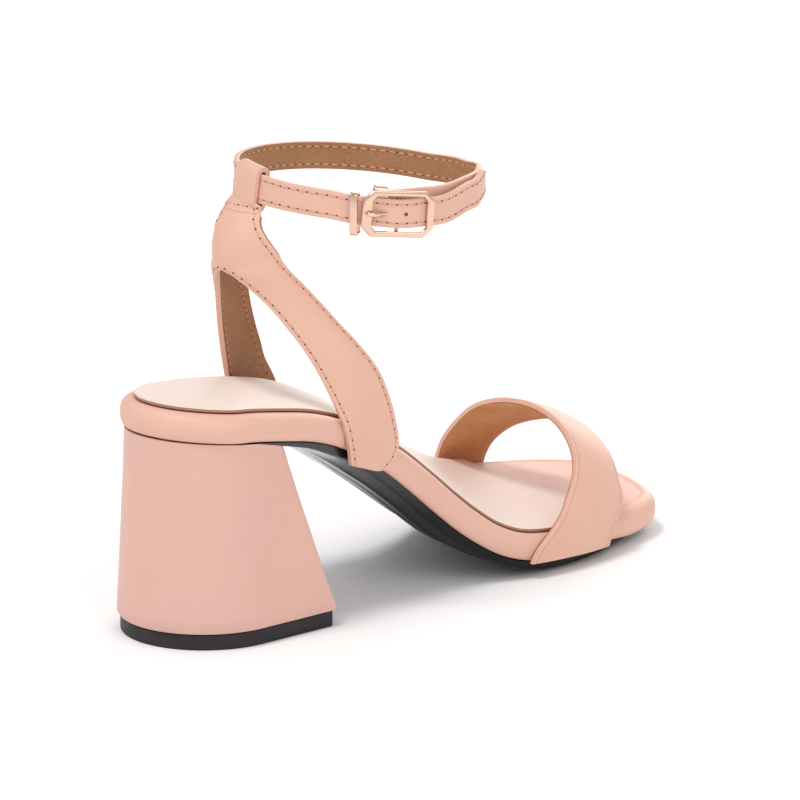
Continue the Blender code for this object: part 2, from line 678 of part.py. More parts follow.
def build_ankle_strap(parts, cutters):
    shape = bmesh.new()
    start = STRAP_ROWS[0].angle
    end = STRAP_ROWS[-1].angle
    count = round((end - start) / STRAP_STEP)
    rows = []
    for k in range(count + 1):
        angle = start + (end - start) * k / count
        out, rise = strap_section(angle)
        half_t = STRAP_THICKNESS / 2
        half_w = STRAP_WIDTH / 2
        corners = ((-half_t, -half_w), (half_t, -half_w), (half_t, half_w), (-half_t, half_w))
        rows.append([shape.verts.new(ring_point(angle, out + t, rise + w)) for t, w in corners])
    for low, high in zip(rows, rows[1:]):
        for a in range(4):
            b = (a + 1) % 4
            shape.faces.new((low[a], low[b], high[b], high[a]))
    shape.faces.new(rows[0])
    shape.faces.new(rows[-1])
    strap_mesh = mesh_from_bmesh("ankle_strap", shape)
    strap = add_object("ankle_strap", strap_mesh, "peach_leather", parts)
    slot = add_object("prong_slot", prong_mesh("prong_slot", PRONG_SLOT_PLAY), None, cutters)
    boolean(strap, slot, "DIFFERENCE")
    hole = bmesh.new()
    bmesh.ops.create_cone(hole, cap_ends=True, segments=12, radius1=HOLE_RADIUS,
                          radius2=HOLE_RADIUS, depth=2 * STRAP_THICKNESS)
    bmesh.ops.transform(hole, verts=hole.verts, matrix=Matrix.Translation(
        (HOLE_AT, FRAME_DROP, STRAP_THICKNESS)))
    bmesh.ops.transform(hole, verts=hole.verts, matrix=buckle_matrix())
    cutter = add_object("hole_cutter", mesh_from_bmesh("hole_cutter", hole), None, cutters)
    boolean(strap, cutter, "DIFFERENCE")
    return strap


def sleeve_mesh(name, span, out, rise, half_height, half_depth, wall, skew=0.0):
    """A flat tube round a strap, between two ring angles. Skew turns it by so many degrees."""
    shape = bmesh.new()
    rows = []
    steps = 4
    for k in range(steps + 1):
        angle = span[0] + (span[1] - span[0]) * k / steps
        row = []
        for grow in (wall, 0.0):
            d = half_depth + grow
            h = half_height + grow
            for t, w in ((-d, -h), (d, -h), (d, h), (-d, h)):
                turned = angle - skew * t / half_depth
                row.append(shape.verts.new(ring_point(turned, out + t, rise + w)))
        rows.append(row)
    for low, high in zip(rows, rows[1:]):
        for base in (0, 4):
            for a in range(4):
                b = (a + 1) % 4
                shape.faces.new((low[base + a], low[base + b], high[base + b], high[base + a]))
    for row in (rows[0], rows[-1]):
        for a in range(4):
            b = (a + 1) % 4
            shape.faces.new((row[a], row[b], row[4 + b], row[4 + a]))
    return mesh_from_bmesh(name, shape)


def buckle_matrix():
    """Buckle space: X along the strap, Y up, Z outward, from the ring's own line."""
    point, along, outward = ring_axes(BUCKLE_ANGLE)
    along.z = RING_SLOPE_X * along.x + RING_SLOPE_Y * along.y
    along.normalize()
    turn = Matrix((along, outward.cross(along), outward)).transposed().to_4x4()
    return Matrix.Translation(point - UP * FRAME_DROP) @ turn


def octagon(length, height, corner):
    x = length / 2
    y = height / 2
    return ((x - corner, y), (x, y - corner), (x, corner - y), (x - corner, -y),
            (corner - x, -y), (-x, corner - y), (-x, y - corner), (corner - x, y))


def wire_mesh(name, points, radius):
    """A round wire along points in buckle space, with closed ends."""
    curve = bpy.data.curves.new(name, "CURVE")
    curve.dimensions = "3D"
    curve.bevel_depth = radius
    curve.bevel_resolution = 2
    curve.use_fill_caps = True
    line = curve.splines.new("POLY")
    line.points.add(len(points) - 1)
    for handle, point in zip(line.points, points):
        handle.co = (*point, 1)
    thing = bpy.data.objects.new(name, curve)
    thing.matrix_world = buckle_matrix()
    bpy.context.scene.collection.objects.link(thing)
    bpy.context.view_layer.update()
    return mesh_from_curve(thing)


def prong_mesh(name, play):
    path = ((-1.3, 0.95), (-2.6, 1.25), (-4.4, 1.9), (-6.4, 3.0), (-8.2, 4.1), (-9.8, 4.5),
            (-11.7, 4.4))
    points = [Vector((x * MM, 0, z * MM)) for x, z in path]
    if play:
        points = [Vector((-0.4 * MM, 0, 0.9 * MM))] + points[:5]
    return wire_mesh(name, points, PRONG_RADIUS + play)


def build_buckle(parts, cutters):
    curve = bpy.data.curves.new("frame_outline", "CURVE")
    curve.dimensions = "2D"
    curve.fill_mode = "BOTH"
    curve.extrude = FRAME_THICKNESS / 2
    outside = octagon(FRAME_LENGTH, FRAME_HEIGHT, FRAME_CORNER)
    inside = octagon(FRAME_LENGTH - FRAME_LEFT_BAR - FRAME_RIGHT_BAR,
                     FRAME_HEIGHT - 2 * FRAME_BAR, FRAME_CORNER_INSIDE)
    uneven = (FRAME_LEFT_BAR - FRAME_RIGHT_BAR) / 2
    for outline, shift in ((outside, 0.0), (inside, uneven)):
        line = curve.splines.new("POLY")
        line.use_cyclic_u = True
        line.points.add(len(outline) - 1)
        for handle, (x, y) in zip(line.points, outline):
            handle.co = (x + shift + FRAME_SHIFT, y, 0, 1)
    thing = bpy.data.objects.new("frame_outline", curve)
    lift = Matrix.Translation((0, 0, FRAME_LIFT + FRAME_THICKNESS / 2))
    thing.matrix_world = buckle_matrix() @ lift
    bpy.context.scene.collection.objects.link(thing)
    bpy.context.view_layer.update()
    frame = add_object("buckle_frame", mesh_from_curve(thing), "rose_gold", parts)
    bevel = frame.modifiers.new("soft_edges", "BEVEL")
    bevel.width = FRAME_BEVEL
    bevel.segments = 1
    bevel.limit_method = "ANGLE"
    half = FRAME_HEIGHT / 2 - FRAME_BAR / 2
    bar = ((half, 2.4), (half - 0.2 * MM, 1.0), (half - 0.9 * MM, 0.15), (0.0, 0.0))
    upper = [Vector((0, y, z * MM)) for y, z in bar[:3]]
    lower = [Vector((0, -y, z * MM)) for y, z in bar[:3]]
    bar_mesh = wire_mesh("centre_bar", upper + [Vector((0, 0, 0))] + lower[::-1], BAR_RADIUS)
    boolean(frame, add_object("centre_bar", bar_mesh, None, cutters), "UNION")

    add_object("buckle_prong", prong_mesh("buckle_prong", 0), "rose_gold", parts)

    depth = STRAP_THICKNESS / 2 + SLEEVE_PLAY
    for name, span, size, skew in (("strap_keeper", KEEPER_SPAN, KEEPER_SIZE, KEEPER_SKEW),
                                   ("buckle_link", LINK_SPAN, LINK_SIZE, 0.0)):
        angles = [angle_at(distance) for distance in span]
        if name == "buckle_link":
            angles = [angle - 360 for angle in angles]
        out, rise = strap_section(sum(angles) / 2)
        half_height, drop = size
        sleeve = sleeve_mesh(name, angles, out, rise - drop, half_height, depth, SLEEVE_WALL,
                             skew)
        add_object(name, sleeve, "rose_gold", parts)
    return frame


def main():
    clear_scene()
    parts = new_collection("block_heel_sandal")
    cutters = new_collection("cutters")
    bed = Footbed()
    build_footbed(bed, parts)
    build_insole(bed, parts, cutters)
    build_outsole(bed, parts)
    build_heel(bed, parts)
    build_toe_strap(bed, parts)
    build_sling(parts, cutters)
    build_ankle_strap(parts, cutters)
    build_buckle(parts, cutters)


main()
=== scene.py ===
# %% [markdown]
# A block heel sandal, dressed. The CAD model gives twelve plain solids in one fixed frame, in
# metres: the origin is the middle of the heel's floor face, +Y points to the toe and +X to the
# outer side of this right shoe. This script makes a finely shaped piece over each solid and gives
# it its leather, lining, thread or metal.

# %% Load the frame
import math
from collections import namedtuple

import bmesh
import bpy
from mathutils import Matrix, Vector


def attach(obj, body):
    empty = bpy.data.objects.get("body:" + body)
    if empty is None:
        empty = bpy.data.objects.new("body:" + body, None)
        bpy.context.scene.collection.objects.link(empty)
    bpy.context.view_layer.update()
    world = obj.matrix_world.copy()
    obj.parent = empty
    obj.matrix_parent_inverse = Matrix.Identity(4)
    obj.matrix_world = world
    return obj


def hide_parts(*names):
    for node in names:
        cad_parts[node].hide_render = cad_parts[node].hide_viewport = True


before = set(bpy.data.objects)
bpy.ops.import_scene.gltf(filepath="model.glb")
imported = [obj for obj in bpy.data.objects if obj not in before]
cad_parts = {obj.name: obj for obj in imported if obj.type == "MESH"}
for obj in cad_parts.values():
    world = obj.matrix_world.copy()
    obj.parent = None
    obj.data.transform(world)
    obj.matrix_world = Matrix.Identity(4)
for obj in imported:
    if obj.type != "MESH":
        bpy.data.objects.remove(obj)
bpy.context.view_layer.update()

MM = 0.001
UP = Vector((0, 0, 1))

# %% [markdown]
# A shoemaker describes a curved piece by a few measured sections. Here each section is a row of a
# table in millimetres, and a smooth curve through the rows gives every section between them. A
# curve object with handles could do the same, but a table shows the real sizes and each column
# can be anything, such as a width or a bow. The curve used here passes through the rows themselves.

# %% Curves through tables
def table(columns, *rows):
    """Rows of numbers whose columns have names."""
    row = namedtuple("Row", columns)
    return [row(*values) for values in rows]


def spline_row(rows, t):
    """The row at t, where 0 is the first row, 1 the second and 1.5 lies between two."""
    last = len(rows) - 1
    i = min(max(int(t), 0), last - 1)
    f = t - i
    read = []
    for a, b, c, d in zip(rows[max(i - 1, 0)], rows[i], rows[i + 1], rows[min(i + 2, last)]):
        bend = 2 * a - 5 * b + 4 * c - d
        turn = 3 * b - a - 3 * c + d
        read.append(0.5 * (2 * b + (c - a) * f + bend * f * f + turn * f ** 3))
    return getattr(rows[0], "_make", tuple)(read)


def smooth(f):
    """A soft step from 0 to 1."""
    f = min(max(f, 0.0), 1.0)
    return f * f * (3 - 2 * f)


def span(start, end, count):
    """Even steps from start to end, both included."""
    return [start + (end - start) * k / count for k in range(count + 1)]


print("between two rows:", spline_row(table("a b", (0, 0), (1, 2), (2, 2)), 1.5))


# %% [markdown]
# Materials are written as sums. Num wraps a number socket, so that 1 - mask or mask * 0.2 adds the
# Math nodes by itself. Linking the nodes by hand gives the same material, but a sum is shorter and
# reads like the idea behind it.

# %% Shader expressions
class Num:
    def __init__(self, finish, socket):
        self.finish = finish
        self.socket = socket

    def math(self, operation, *values):
        return self.finish.node("Math", {"operation": operation}, values)

    def __add__(self, other):
        return self.math("ADD", self, other)

    def __sub__(self, other):
        return self.math("SUBTRACT", self, other)

    def __rsub__(self, other):
        return self.math("SUBTRACT", other, self)

    def __mul__(self, other):
        return self.math("MULTIPLY", self, other)

    def above(self, edge, soft):
        """0 below the edge and 1 above it, with a soft step between."""
        return self.finish.node("MapRange", {"interpolation_type": "SMOOTHSTEP"},
                                (self, edge - soft, edge + soft, 0.0, 1.0))

    __radd__ = __add__
    __rmul__ = __mul__


# %% [markdown]
# A finish is one material with one Principled shader. It is built from the few patterns that
# leather, thread, rubber and metal need: even noise, a pore grain, the height above the floor and
# the distance from a cut edge. They read the piece's own coordinates in metres, so that a pattern
# has its real size on every piece.

# %% A finish
class Finish:
    def __init__(self, name, roughness=0.5, metallic=0.0):
        self.material = bpy.data.materials.new(name)
        self.material.use_nodes = True
        self.tree = self.material.node_tree
        self.shader = self.tree.nodes["Principled BSDF"]
        self.shader.inputs["Roughness"].default_value = roughness
        self.shader.inputs["Metallic"].default_value = metallic

    def node(self, kind, settings=None, values=(), output=0):
        made = self.tree.nodes.new("ShaderNode" + kind)
        for name, value in (settings or {}).items():
            setattr(made, name, value)
        named = values if isinstance(values, dict) else dict(enumerate(values))
        for key, value in named.items():
            self.plug(value, made.inputs[key])
        return Num(self, made.outputs[output])

    def plug(self, value, socket):
        if isinstance(value, Num):
            self.tree.links.new(value.socket, socket)
        elif socket.type == "RGBA":
            socket.default_value = (*value[:3], 1)
        else:
            socket.default_value = value

    def place(self, scale=(1, 1, 1)):
        where = self.node("TexCoord", output=3)
        return self.node("Mapping", values={"Vector": where, "Scale": scale})

    def noise(self, size, detail=2.0, stretch=(1, 1, 1)):
        """Even noise from 0 to 1 whose lumps are about so many metres wide."""
        return self.node("TexNoise", values={"Vector": self.place(stretch), "Scale": 1 / size,
                                             "Detail": detail})

    def grain(self, size):
        return self.node("TexVoronoi", {"feature": "DISTANCE_TO_EDGE"},
                         {"Vector": self.place(), "Scale": 1 / size})

    def mix(self, mask, low, high):
        made = self.tree.nodes.new("ShaderNodeMix")
        made.data_type = "RGBA"
        self.plug(mask, made.inputs[0])
        self.plug(low, made.inputs[6])
        self.plug(high, made.inputs[7])
        return Num(self, made.outputs[2])

    def height(self):
        """How high a place is above the floor, in metres."""
        return self.node("SeparateXYZ", values={"Vector": self.place()}, output=2)

    def cut(self, axis):
        """The piece's own map: 0 is along the strap, 1 the distance from its edge, in cm."""
        uv = self.node("UVMap", {"uv_map": "Cut"})
        return self.node("SeparateXYZ", values={"Vector": uv}, output=axis)

    def bump(self, height, depth, strength=1.0):
        made = self.node("Bump", values={"Height": height, "Distance": depth,
                                         "Strength": strength})
        self.plug(made, self.shader.inputs["Normal"])

    def wear(self, colour=None, roughness=None):
        if colour is not None:
            self.plug(colour, self.shader.inputs["Base Color"])
        if roughness is not None:
            self.plug(roughness, self.shader.inputs["Roughness"])
        return self.material


def srgb(*levels):
    """A colour from its 0 to 255 screen values to the linear ones that a shader wants."""
    return tuple(((v / 255 + 0.055) / 1.055) ** 2.4 for v in levels)


# %% [markdown]
# The outer leather is smooth and satin: a little colour drift over centimetres, a very fine pore
# grain and slightly uneven shine. The wrapped heel and rim are the same hide pulled tight. A
# scanned picture could give this too, but noise never repeats and needs no file. The strap pieces
# carry a map named Cut, in centimetres, so a crease or a turned edge follows the cut.

# %% Outer leather
PEACH = srgb(230, 183, 162)
PEACH_DEEP = srgb(223, 172, 150)
# The darker peach painted into a crease line as its shade.
PEACH_CREASE_SHADE = srgb(190, 132, 112)
SATIN = 0.46
CUT_MAP = 100


def outer_leather(name, tone, deep, shine=SATIN, crease=0.0):
    """Smooth satin leather. With a crease, its folded edge is pressed in along a fine line, painted
    darker there as shade.
    """
    finish = Finish(name, shine)
    drift = finish.noise(35 * MM, 1.0).above(0.5, 0.3)
    pores = finish.grain(0.7 * MM)
    soft = finish.noise(6 * MM, 3.0)
    height = pores.above(0.08, 0.08) * 0.5 + soft
    colour = finish.mix(drift * 0.55, tone, deep)
    if crease:
        from_edge = finish.cut(1)
        low, high = crease * CUT_MAP - 0.02, crease * CUT_MAP + 0.02
        line = from_edge.above(low, 0.012) * (1 - from_edge.above(high, 0.012))
        height = height - line * 2.5
        # Painted shade: the crease line is painted darker.
        colour = finish.mix(line * 0.55, colour, PEACH_CREASE_SHADE)
    finish.bump(height, 0.12 * MM, 0.35)
    finish.shader.inputs["Specular IOR Level"].default_value = 0.42
    return finish.wear(colour, soft * 0.12 + (shine - 0.06))


CREASE_FROM_EDGE = 1.4 * MM
strap_leather = outer_leather("strap_leather", PEACH, PEACH_DEEP)
toe_leather = outer_leather("toe_strap_leather", PEACH, PEACH_DEEP, SATIN, CREASE_FROM_EDGE)
# The heel's copy of the hide is a little darker, and its drift runs to mauve: painted shade for the
# heel's shaded side, spread at random.
heel_leather = outer_leather("heel_leather", srgb(226, 178, 160), srgb(214, 176, 168), 0.42)
rim_leather = outer_leather("rim_leather", PEACH, srgb(224, 176, 160), 0.48)
print("leathers:", strap_leather.name, toe_leather.name, heel_leather.name, rim_leather.name)

# %% [markdown]
# The straps are lined with brown pigskin, which is matt, a little fuzzy and mottled. Its raw edges
# and the sewing thread are small parts, so for them one noise gives both the colour and the relief.

# %% Lining, raw edges and thread
LINING = (srgb(176, 128, 90), srgb(146, 100, 66))
# A lighter copy of the lining's browns, painted light for the brighter light that falls on the toe
# strap's lining.
LINING_PAINTED_LIT = (srgb(222, 166, 116), srgb(190, 134, 88))


def lining_leather(name, tones, folded_edge=0.0):
    """Brown pigskin lining. Where the outer leather is folded over, its band shows at the edge."""
    finish = Finish(name, 0.72)
    hairs = finish.noise(0.9 * MM, 3.0, (1, 1, 2.4))
    cloud = finish.noise(12 * MM, 2.0)
    mottle = cloud.above(0.5, 0.25) * 0.35 + hairs.above(0.5, 0.2) * 0.65
    brown = finish.mix(mottle, tones[1], tones[0])
    height = hairs
    if folded_edge:
        inside = finish.cut(1).above(folded_edge * CUT_MAP, 0.004)
        brown = finish.mix(inside, PEACH_DEEP, brown)
        height = hairs * 0.5 - inside * 0.8
    finish.bump(height, 0.2 * MM, 0.5)
    return finish.wear(brown)


def fine_finish(name, roughness, size, detail, depth, strength, deep, tone):
    """A small part's finish: one noise gives both its colour and its relief."""
    finish = Finish(name, roughness)
    fibres = finish.noise(size, detail)
    finish.bump(fibres, depth, strength)
    return finish.wear(finish.mix(fibres, deep, tone))


def raw_edge(name, tone):
    return fine_finish(name, 0.6, 0.6 * MM, 3.0, 0.15 * MM, 0.4, tone, srgb(150, 96, 72))


def sewing_thread(name, tone, deep):
    return fine_finish(name, 0.55, 0.4 * MM, 1.0, 0.1 * MM, 0.5, deep, tone)


FOLDED_BAND = 1.3 * MM
strap_lining = lining_leather("strap_lining", LINING)
toe_lining = lining_leather("toe_strap_lining", LINING_PAINTED_LIT, FOLDED_BAND)
toe_sheet_lining = lining_leather("toe_sheet_lining", LINING_PAINTED_LIT)
sock_raw_edge = raw_edge("sock_raw_edge", srgb(204, 170, 142))
# Dark brown for real raw edge lines, and painted shade at the foot of the sock's edge.
dark_edge_and_contact_shade = raw_edge("sock_edge_line_and_contact_shade", srgb(132, 92, 66))
thread_outer = sewing_thread("thread_peach", srgb(226, 174, 152), srgb(208, 150, 128))
thread_lining = sewing_thread("thread_pale", srgb(212, 168, 124), srgb(186, 140, 98))
# The needle holes' dark brown is painted shade inside the holes.
hole_shade_finish = sewing_thread("needle_hole_shade", srgb(128, 74, 58), srgb(96, 50, 38))
print("linings:", strap_lining.name, toe_lining.name, toe_sheet_lining.name)

# %% [markdown]
# The sock is the pale leather that the foot touches: new, nearly matt and die cut, so its raw edge
# shows as a thin brown line, with a dark band of painted shade at its foot where it meets the
# footbed. The sole is moulded black, lacquered at the waist and matt where it meets the floor. The
# buckle is cast and plated, and one metal finish serves all its parts.

# %% Sock, sole and metal finishes
def sock_leather():
    finish = Finish("sock_leather", 0.6)
    finish.bump(finish.noise(1.2 * MM, 3.0), 0.1 * MM, 0.3)
    cloud = finish.noise(30 * MM, 2.0)
    return finish.wear(finish.mix(cloud, srgb(229, 207, 196), srgb(236, 219, 207)))


def sole_black(name, shine, tones, gloss_from=None):
    """Black moulded sole. Above the height gloss_from it is lacquered and shines."""
    finish = Finish(name, shine)
    scuff = finish.noise(4 * MM, 3.0, (1, 0.4, 1))
    finish.bump(scuff, 0.1 * MM, 0.15)
    finish.shader.inputs["Specular IOR Level"].default_value = 0.2
    finish.shader.inputs["Coat Roughness"].default_value = 0.14
    if gloss_from:
        lacquer = finish.height().above(gloss_from, 14 * MM)
        finish.plug(lacquer, finish.shader.inputs["Coat Weight"])
    return finish.wear(finish.mix(scuff, *tones), scuff * 0.15 + shine)


def polished_metal():
    finish = Finish("rose_gold_plate", 0.16, 1.0)
    cloud = finish.noise(4 * MM, 2.0)
    tone = finish.mix(cloud, srgb(222, 182, 158), srgb(238, 206, 186))
    return finish.wear(tone, cloud * 0.08 + 0.12)


sock_top = sock_leather()
sole_gloss = sole_black("sole_gloss", 0.3, (srgb(12, 12, 13), srgb(22, 21, 23)), 38 * MM)
lift_black = sole_black("lift_black", 0.42, (srgb(42, 39, 43), srgb(56, 52, 56)))
metal = polished_metal()
print("finishes:", len(bpy.data.materials))

# %% [markdown]
# Every new piece stands for one or more CAD nodes and rides on the only body.

# %% Finish a piece
WELD = 0.01 * MM


def new_object(name, data):
    thing = bpy.data.objects.new(name, data)
    bpy.context.scene.collection.objects.link(thing)
    return thing


def plain(thing):
    """Replace a worked object by one plain mesh object of the same name, at the origin."""
    bpy.context.view_layer.update()
    graph = bpy.context.evaluated_depsgraph_get()
    mesh = bpy.data.meshes.new_from_object(thing.evaluated_get(graph))
    mesh.transform(thing.matrix_world)
    name = thing.name
    bpy.data.objects.remove(thing, do_unlink=True)
    mesh.name = name
    return new_object(name, mesh)


def hand_over(piece, slot, *nodes):
    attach(piece, "root")
    if nodes:
        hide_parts(*nodes)
    print(piece.name, "faces:", len(piece.data.polygons))


def weld(shape):
    bmesh.ops.remove_doubles(shape, verts=shape.verts, dist=WELD)
    bmesh.ops.dissolve_degenerate(shape, edges=shape.edges, dist=WELD)
    bmesh.ops.recalc_face_normals(shape, faces=shape.faces)


def mesh_object(name, shape, materials):
    """Turn a worked shape into an object."""
    mesh = bpy.data.meshes.new(name)
    shape.to_mesh(mesh)
    shape.free()
    for made in materials:
        mesh.materials.append(made)
    return new_object(name, mesh)


def object_from(name, shape, *materials, sharp=40):
    weld(shape)
    thing = mesh_object(name, shape, materials)
    thing.data.shade_smooth()
    thing.data.set_sharp_from_angle(angle=math.radians(sharp))
    return thing


# %% [markdown]
# The footbed is a shaped board with foam on it, wrapped in leather. Its outline runs round the
# seat, narrows at the waist and widens at the ball, where the lateral side comes first and the
# medial side later, so the sections lean forward on the medial side. Each row joins one lateral
# edge point to one medial edge point. A subdivided box could be pushed into this form, but rows
# keep the real widths and heights, and the sock, the sole and the heel can read them too.

# %% The footbed's sections
HEEL_RADIUS = 27.2
HEEL_BACK_HEIGHT = 77.6
HEEL_ARC_ANGLES = (0, 16, 33, 51, 70)
STEPS_PER_ROW = 5
TOE_FROM, TOE_BLEND = 150, 22
TOE_RIM_EXTRA = 2.6
FOOTBED_ROWS = table(
    "lat_x lat_y lat_z med_x med_y med_z edge",
    (26.6, 0, 75.2, -26.6, 0, 76.4, 9.2),
    (26.7, 12, 73.3, -26.7, 15, 75.2, 9.2),
    (26.8, 25, 70.8, -26.7, 32, 72.6, 9.3),
    (26.8, 37, 67.0, -26.6, 48, 68.8, 9.8),
    (26.7, 49, 61.6, -26.5, 64, 62.2, 10.8),
    (26.6, 60, 55.2, -27.2, 79, 54.2, 12.0),
    (26.9, 70, 47.9, -29.2, 94, 45.6, 12.8),
    (27.8, 79, 40.2, -32.4, 108, 37.6, 13.0),
    (29.4, 87, 32.6, -36.4, 121, 30.6, 12.4),
    (31.6, 95, 25.4, -40.6, 133, 24.8, 11.2),
    (34.2, 103, 19.4, -44.4, 144, 20.6, 10.0),
    (36.7, 112, 15.6, -47.2, 155, 17.6, 9.2),
    (38.1, 124, 13.6, -48.3, 166, 15.4, 8.9),
    (38.1, 138, 12.9, -46.6, 177, 14.2, 8.5),
    (36.9, 151, 12.9, -42.4, 187, 13.8, 8.0),
    (35.2, 163, 13.3, -36.6, 195.2, 13.7, 7.6),
    (33.1, 173.5, 13.7, -29.8, 201, 13.8, 7.3),
    (30.2, 182, 13.9, -22.4, 204.2, 13.9, 7.1),
    (25.6, 188.6, 14.0, -14.8, 204.8, 14.0, 7.0),
    (19.4, 193.2, 14.0, -7.4, 203.4, 14.0, 7.0),
    (12.2, 197.2, 14.0, 0.0, 201.6, 14.0, 7.0),
    (5.8, 199.8, 14.0, 5.8, 199.8, 14.0, 7.0),
)


class Footbed:
    """The outline's two edges, heel to toe, with the rim's height and outward normals on them."""

    def __init__(self):
        rows = [self.seat_row(math.radians(a)) for a in HEEL_ARC_ANGLES] + FOOTBED_ROWS
        self.last = (len(rows) - 1) * STEPS_PER_ROW
        sampled = [spline_row(rows, k / STEPS_PER_ROW) for k in range(self.last + 1)]
        self.lateral = [Vector(r[0:3]) * MM for r in sampled]
        self.medial = [Vector(r[3:6]) * MM for r in sampled]
        self.edge = [(r[6] + TOE_RIM_EXTRA * self.at_toe(r[1])) * MM for r in sampled]
        loop = self.lateral + self.medial[-2:0:-1]
        normals = []
        for k in range(len(loop)):
            along = loop[(k + 1) % len(loop)] - loop[k - 1]
            normals.append(Vector((along.y, -along.x, 0)).normalized())
        self.lateral_normal = normals[:self.last + 1]
        self.medial_normal = [normals[0]] + normals[:self.last - 1:-1]
        self.factor = [max(edge / self.edge[0], 1.0) for edge in self.edge]

    @staticmethod
    def at_toe(y):
        """0 behind the toe and 1 round its front, for a place in millimetres."""
        return smooth((y - TOE_FROM) / TOE_BLEND)

    @staticmethod
    def seat_row(angle):
        seat = FOOTBED_ROWS[0]
        x = HEEL_RADIUS * math.sin(angle)
        y = -HEEL_RADIUS * math.cos(angle)
        f = math.cos(angle)
        lateral_z = seat.lat_z + (HEEL_BACK_HEIGHT - seat.lat_z) * f
        medial_z = seat.med_z + (HEEL_BACK_HEIGHT - seat.med_z) * f
        return seat._make((x, y, lateral_z, -x, y, medial_z, seat.edge))

    def point(self, side, k, inset, height):
        edge = self.lateral if side > 0 else self.medial
        normal = self.lateral_normal if side > 0 else self.medial_normal
        return edge[k] - normal[k] * inset + UP * height

    def side_x(self, side, y):
        edge = self.lateral if side > 0 else self.medial
        for a, b in zip(edge, edge[1:]):
            if a.y <= y <= b.y:
                return abs(a.x + (b.x - a.x) * (y - a.y) / (b.y - a.y))
        return 0.0


bed = Footbed()
print("footbed sections:", bed.last + 1)

# %% [markdown]
# The footbed, the sock and the sole are layers that follow one outline. So one function makes a
# closed slab from rings, each an outline at some inset and height, with a grid of faces over its
# top and its bottom.

# %% A layer along the outline
BED_COLUMNS = 14


def layer(first, rings, lower=None, floor=None, columns=BED_COLUMNS, bands=None):
    """A closed slab from a first station to the toe, as rings from its top to its bottom.

    A ring is an inset, one or for each station, and a height for each station. The bottom drops by
    lower(station, place across), no point goes below floor, and bands give the rings' materials.
    """
    shape = bmesh.new()
    stations = list(range(first, bed.last + 1))

    def place(point):
        if floor is not None:
            point.z = max(point.z, floor)
        return shape.verts.new(point)

    loops = []
    for inset, heights in rings:
        insets = inset if isinstance(inset, list) else [inset] * (bed.last + 1)
        loops.append([[place(bed.point(side, k, insets[k], heights[k])) for k in stations]
                      for side in (1, -1)])
    for number, (upper, under) in enumerate(zip(loops, loops[1:])):
        for side in (0, 1):
            for a in range(len(stations) - 1):
                face = shape.faces.new((upper[side][a], upper[side][a + 1],
                                        under[side][a + 1], under[side][a]))
                face.material_index = bands[number] if bands else 0
    ends = []
    for (out, back), drop in ((loops[0], None), (loops[-1], lower)):
        grid = []
        for a, k in enumerate(stations):
            row = [out[a]]
            for column in range(1, columns):
                f = column / columns
                point = out[a].co.lerp(back[a].co, f)
                if drop:
                    point.z -= drop(k, f)
                row.append(place(point))
            grid.append(row + [back[a]])
        for low, high in zip(grid, grid[1:]):
            for column in range(columns):
                shape.faces.new((low[column], low[column + 1], high[column + 1], high[column]))
        ends.append(grid)
    if first > 0:
        sides = [[pair[side][0] for pair in loops] for side in (0, 1)]
        shape.faces.new(ends[0][0] + sides[1][1:-1] + ends[1][0][::-1] + sides[0][-2:0:-1])
    return shape


# %% [markdown]
# The padded rim is a layer with a round, puffy profile. Under the leather the foam bulges between
# two pulled edges, so the profile stands out most a little above its middle. Cloth under pressure
# would puff it too, but this thin tube is held all round and its profile can be read in the photo.

# %% The padded footbed
RIM_PROFILE = (
    (6.0, 0.035), (4.7, 0.03), (4.2, 0.0), (3.3, 0.012), (2.4, 0.045), (1.5, 0.105), (0.8, 0.18),
    (0.3, 0.28), (0.02, 0.4), (-0.08, 0.52), (-0.05, 0.64), (0.1, 0.76), (0.4, 0.87),
    (0.9, 0.95), (1.6, 0.99), (2.4, 1.0),
)
rings = [(inset * MM, [-edge * drop for edge in bed.edge]) for inset, drop in RIM_PROFILE]
footbed = object_from("padded_footbed", layer(0, rings), rim_leather)
hand_over(footbed, "peach_leather", "footbed")

# %% [markdown]
# The sock covers the footbed from the seat to under the toe strap, 4.6 mm inside the rim. Its cut
# front edge runs straight across, so the layer is sliced there by a plane and closed again.

# %% The sock
SOCK_INSET = 4.6
SOCK_THICKNESS = 1.2
SOCK_FRONT = 163.0
SOCK_PROFILE = ((0.6, 0.0), (0.3, 0.06), (0.08, 0.18), (0.0, 0.3), (0.0, 0.52), (0.0, 0.95))
# The edge's bands from the top: the pale rolled sock, a dark line, the tan raw edge, and at the
# foot a dark band of painted shade where the sock meets the footbed.
SOCK_BANDS = (0, 0, 0, 2, 1, 2)


def sock_shape():
    low = [0.3 * MM * f for f in bed.factor]
    high = [(0.3 * f + SOCK_THICKNESS) * MM for f in bed.factor]
    rings = [((SOCK_INSET + i) * MM, [h - d * MM for h in high]) for i, d in SOCK_PROFILE]
    rings.append((SOCK_INSET * MM, low))
    shape = layer(0, rings, bands=SOCK_BANDS)
    bmesh.ops.remove_doubles(shape, verts=shape.verts, dist=WELD)
    cut = bmesh.ops.bisect_plane(shape, geom=shape.verts[:] + shape.edges[:] + shape.faces[:],
                                 plane_co=(0, SOCK_FRONT * MM, 0), plane_no=(0, 1, 0),
                                 clear_outer=True)
    edges = [g for g in cut["geom_cut"] if isinstance(g, bmesh.types.BMEdge)]
    bmesh.ops.holes_fill(shape, edges=edges)
    return shape


sock = object_from("insole_sock", sock_shape(), sock_top, sock_raw_edge, dark_edge_and_contact_shade)
hand_over(sock, "beige_leather", "insole")

# %% [markdown]
# The black outsole starts thin under the seat, grows to its full edge at the waist and is crowned
# there like a keel, with bevelled sides and two low ribs. At the ball it lies flat on the floor,
# and round the toe it is skived thin and tucked in under the rim. It is a layer as well, whose
# bottom drops by a rule instead of staying flat.

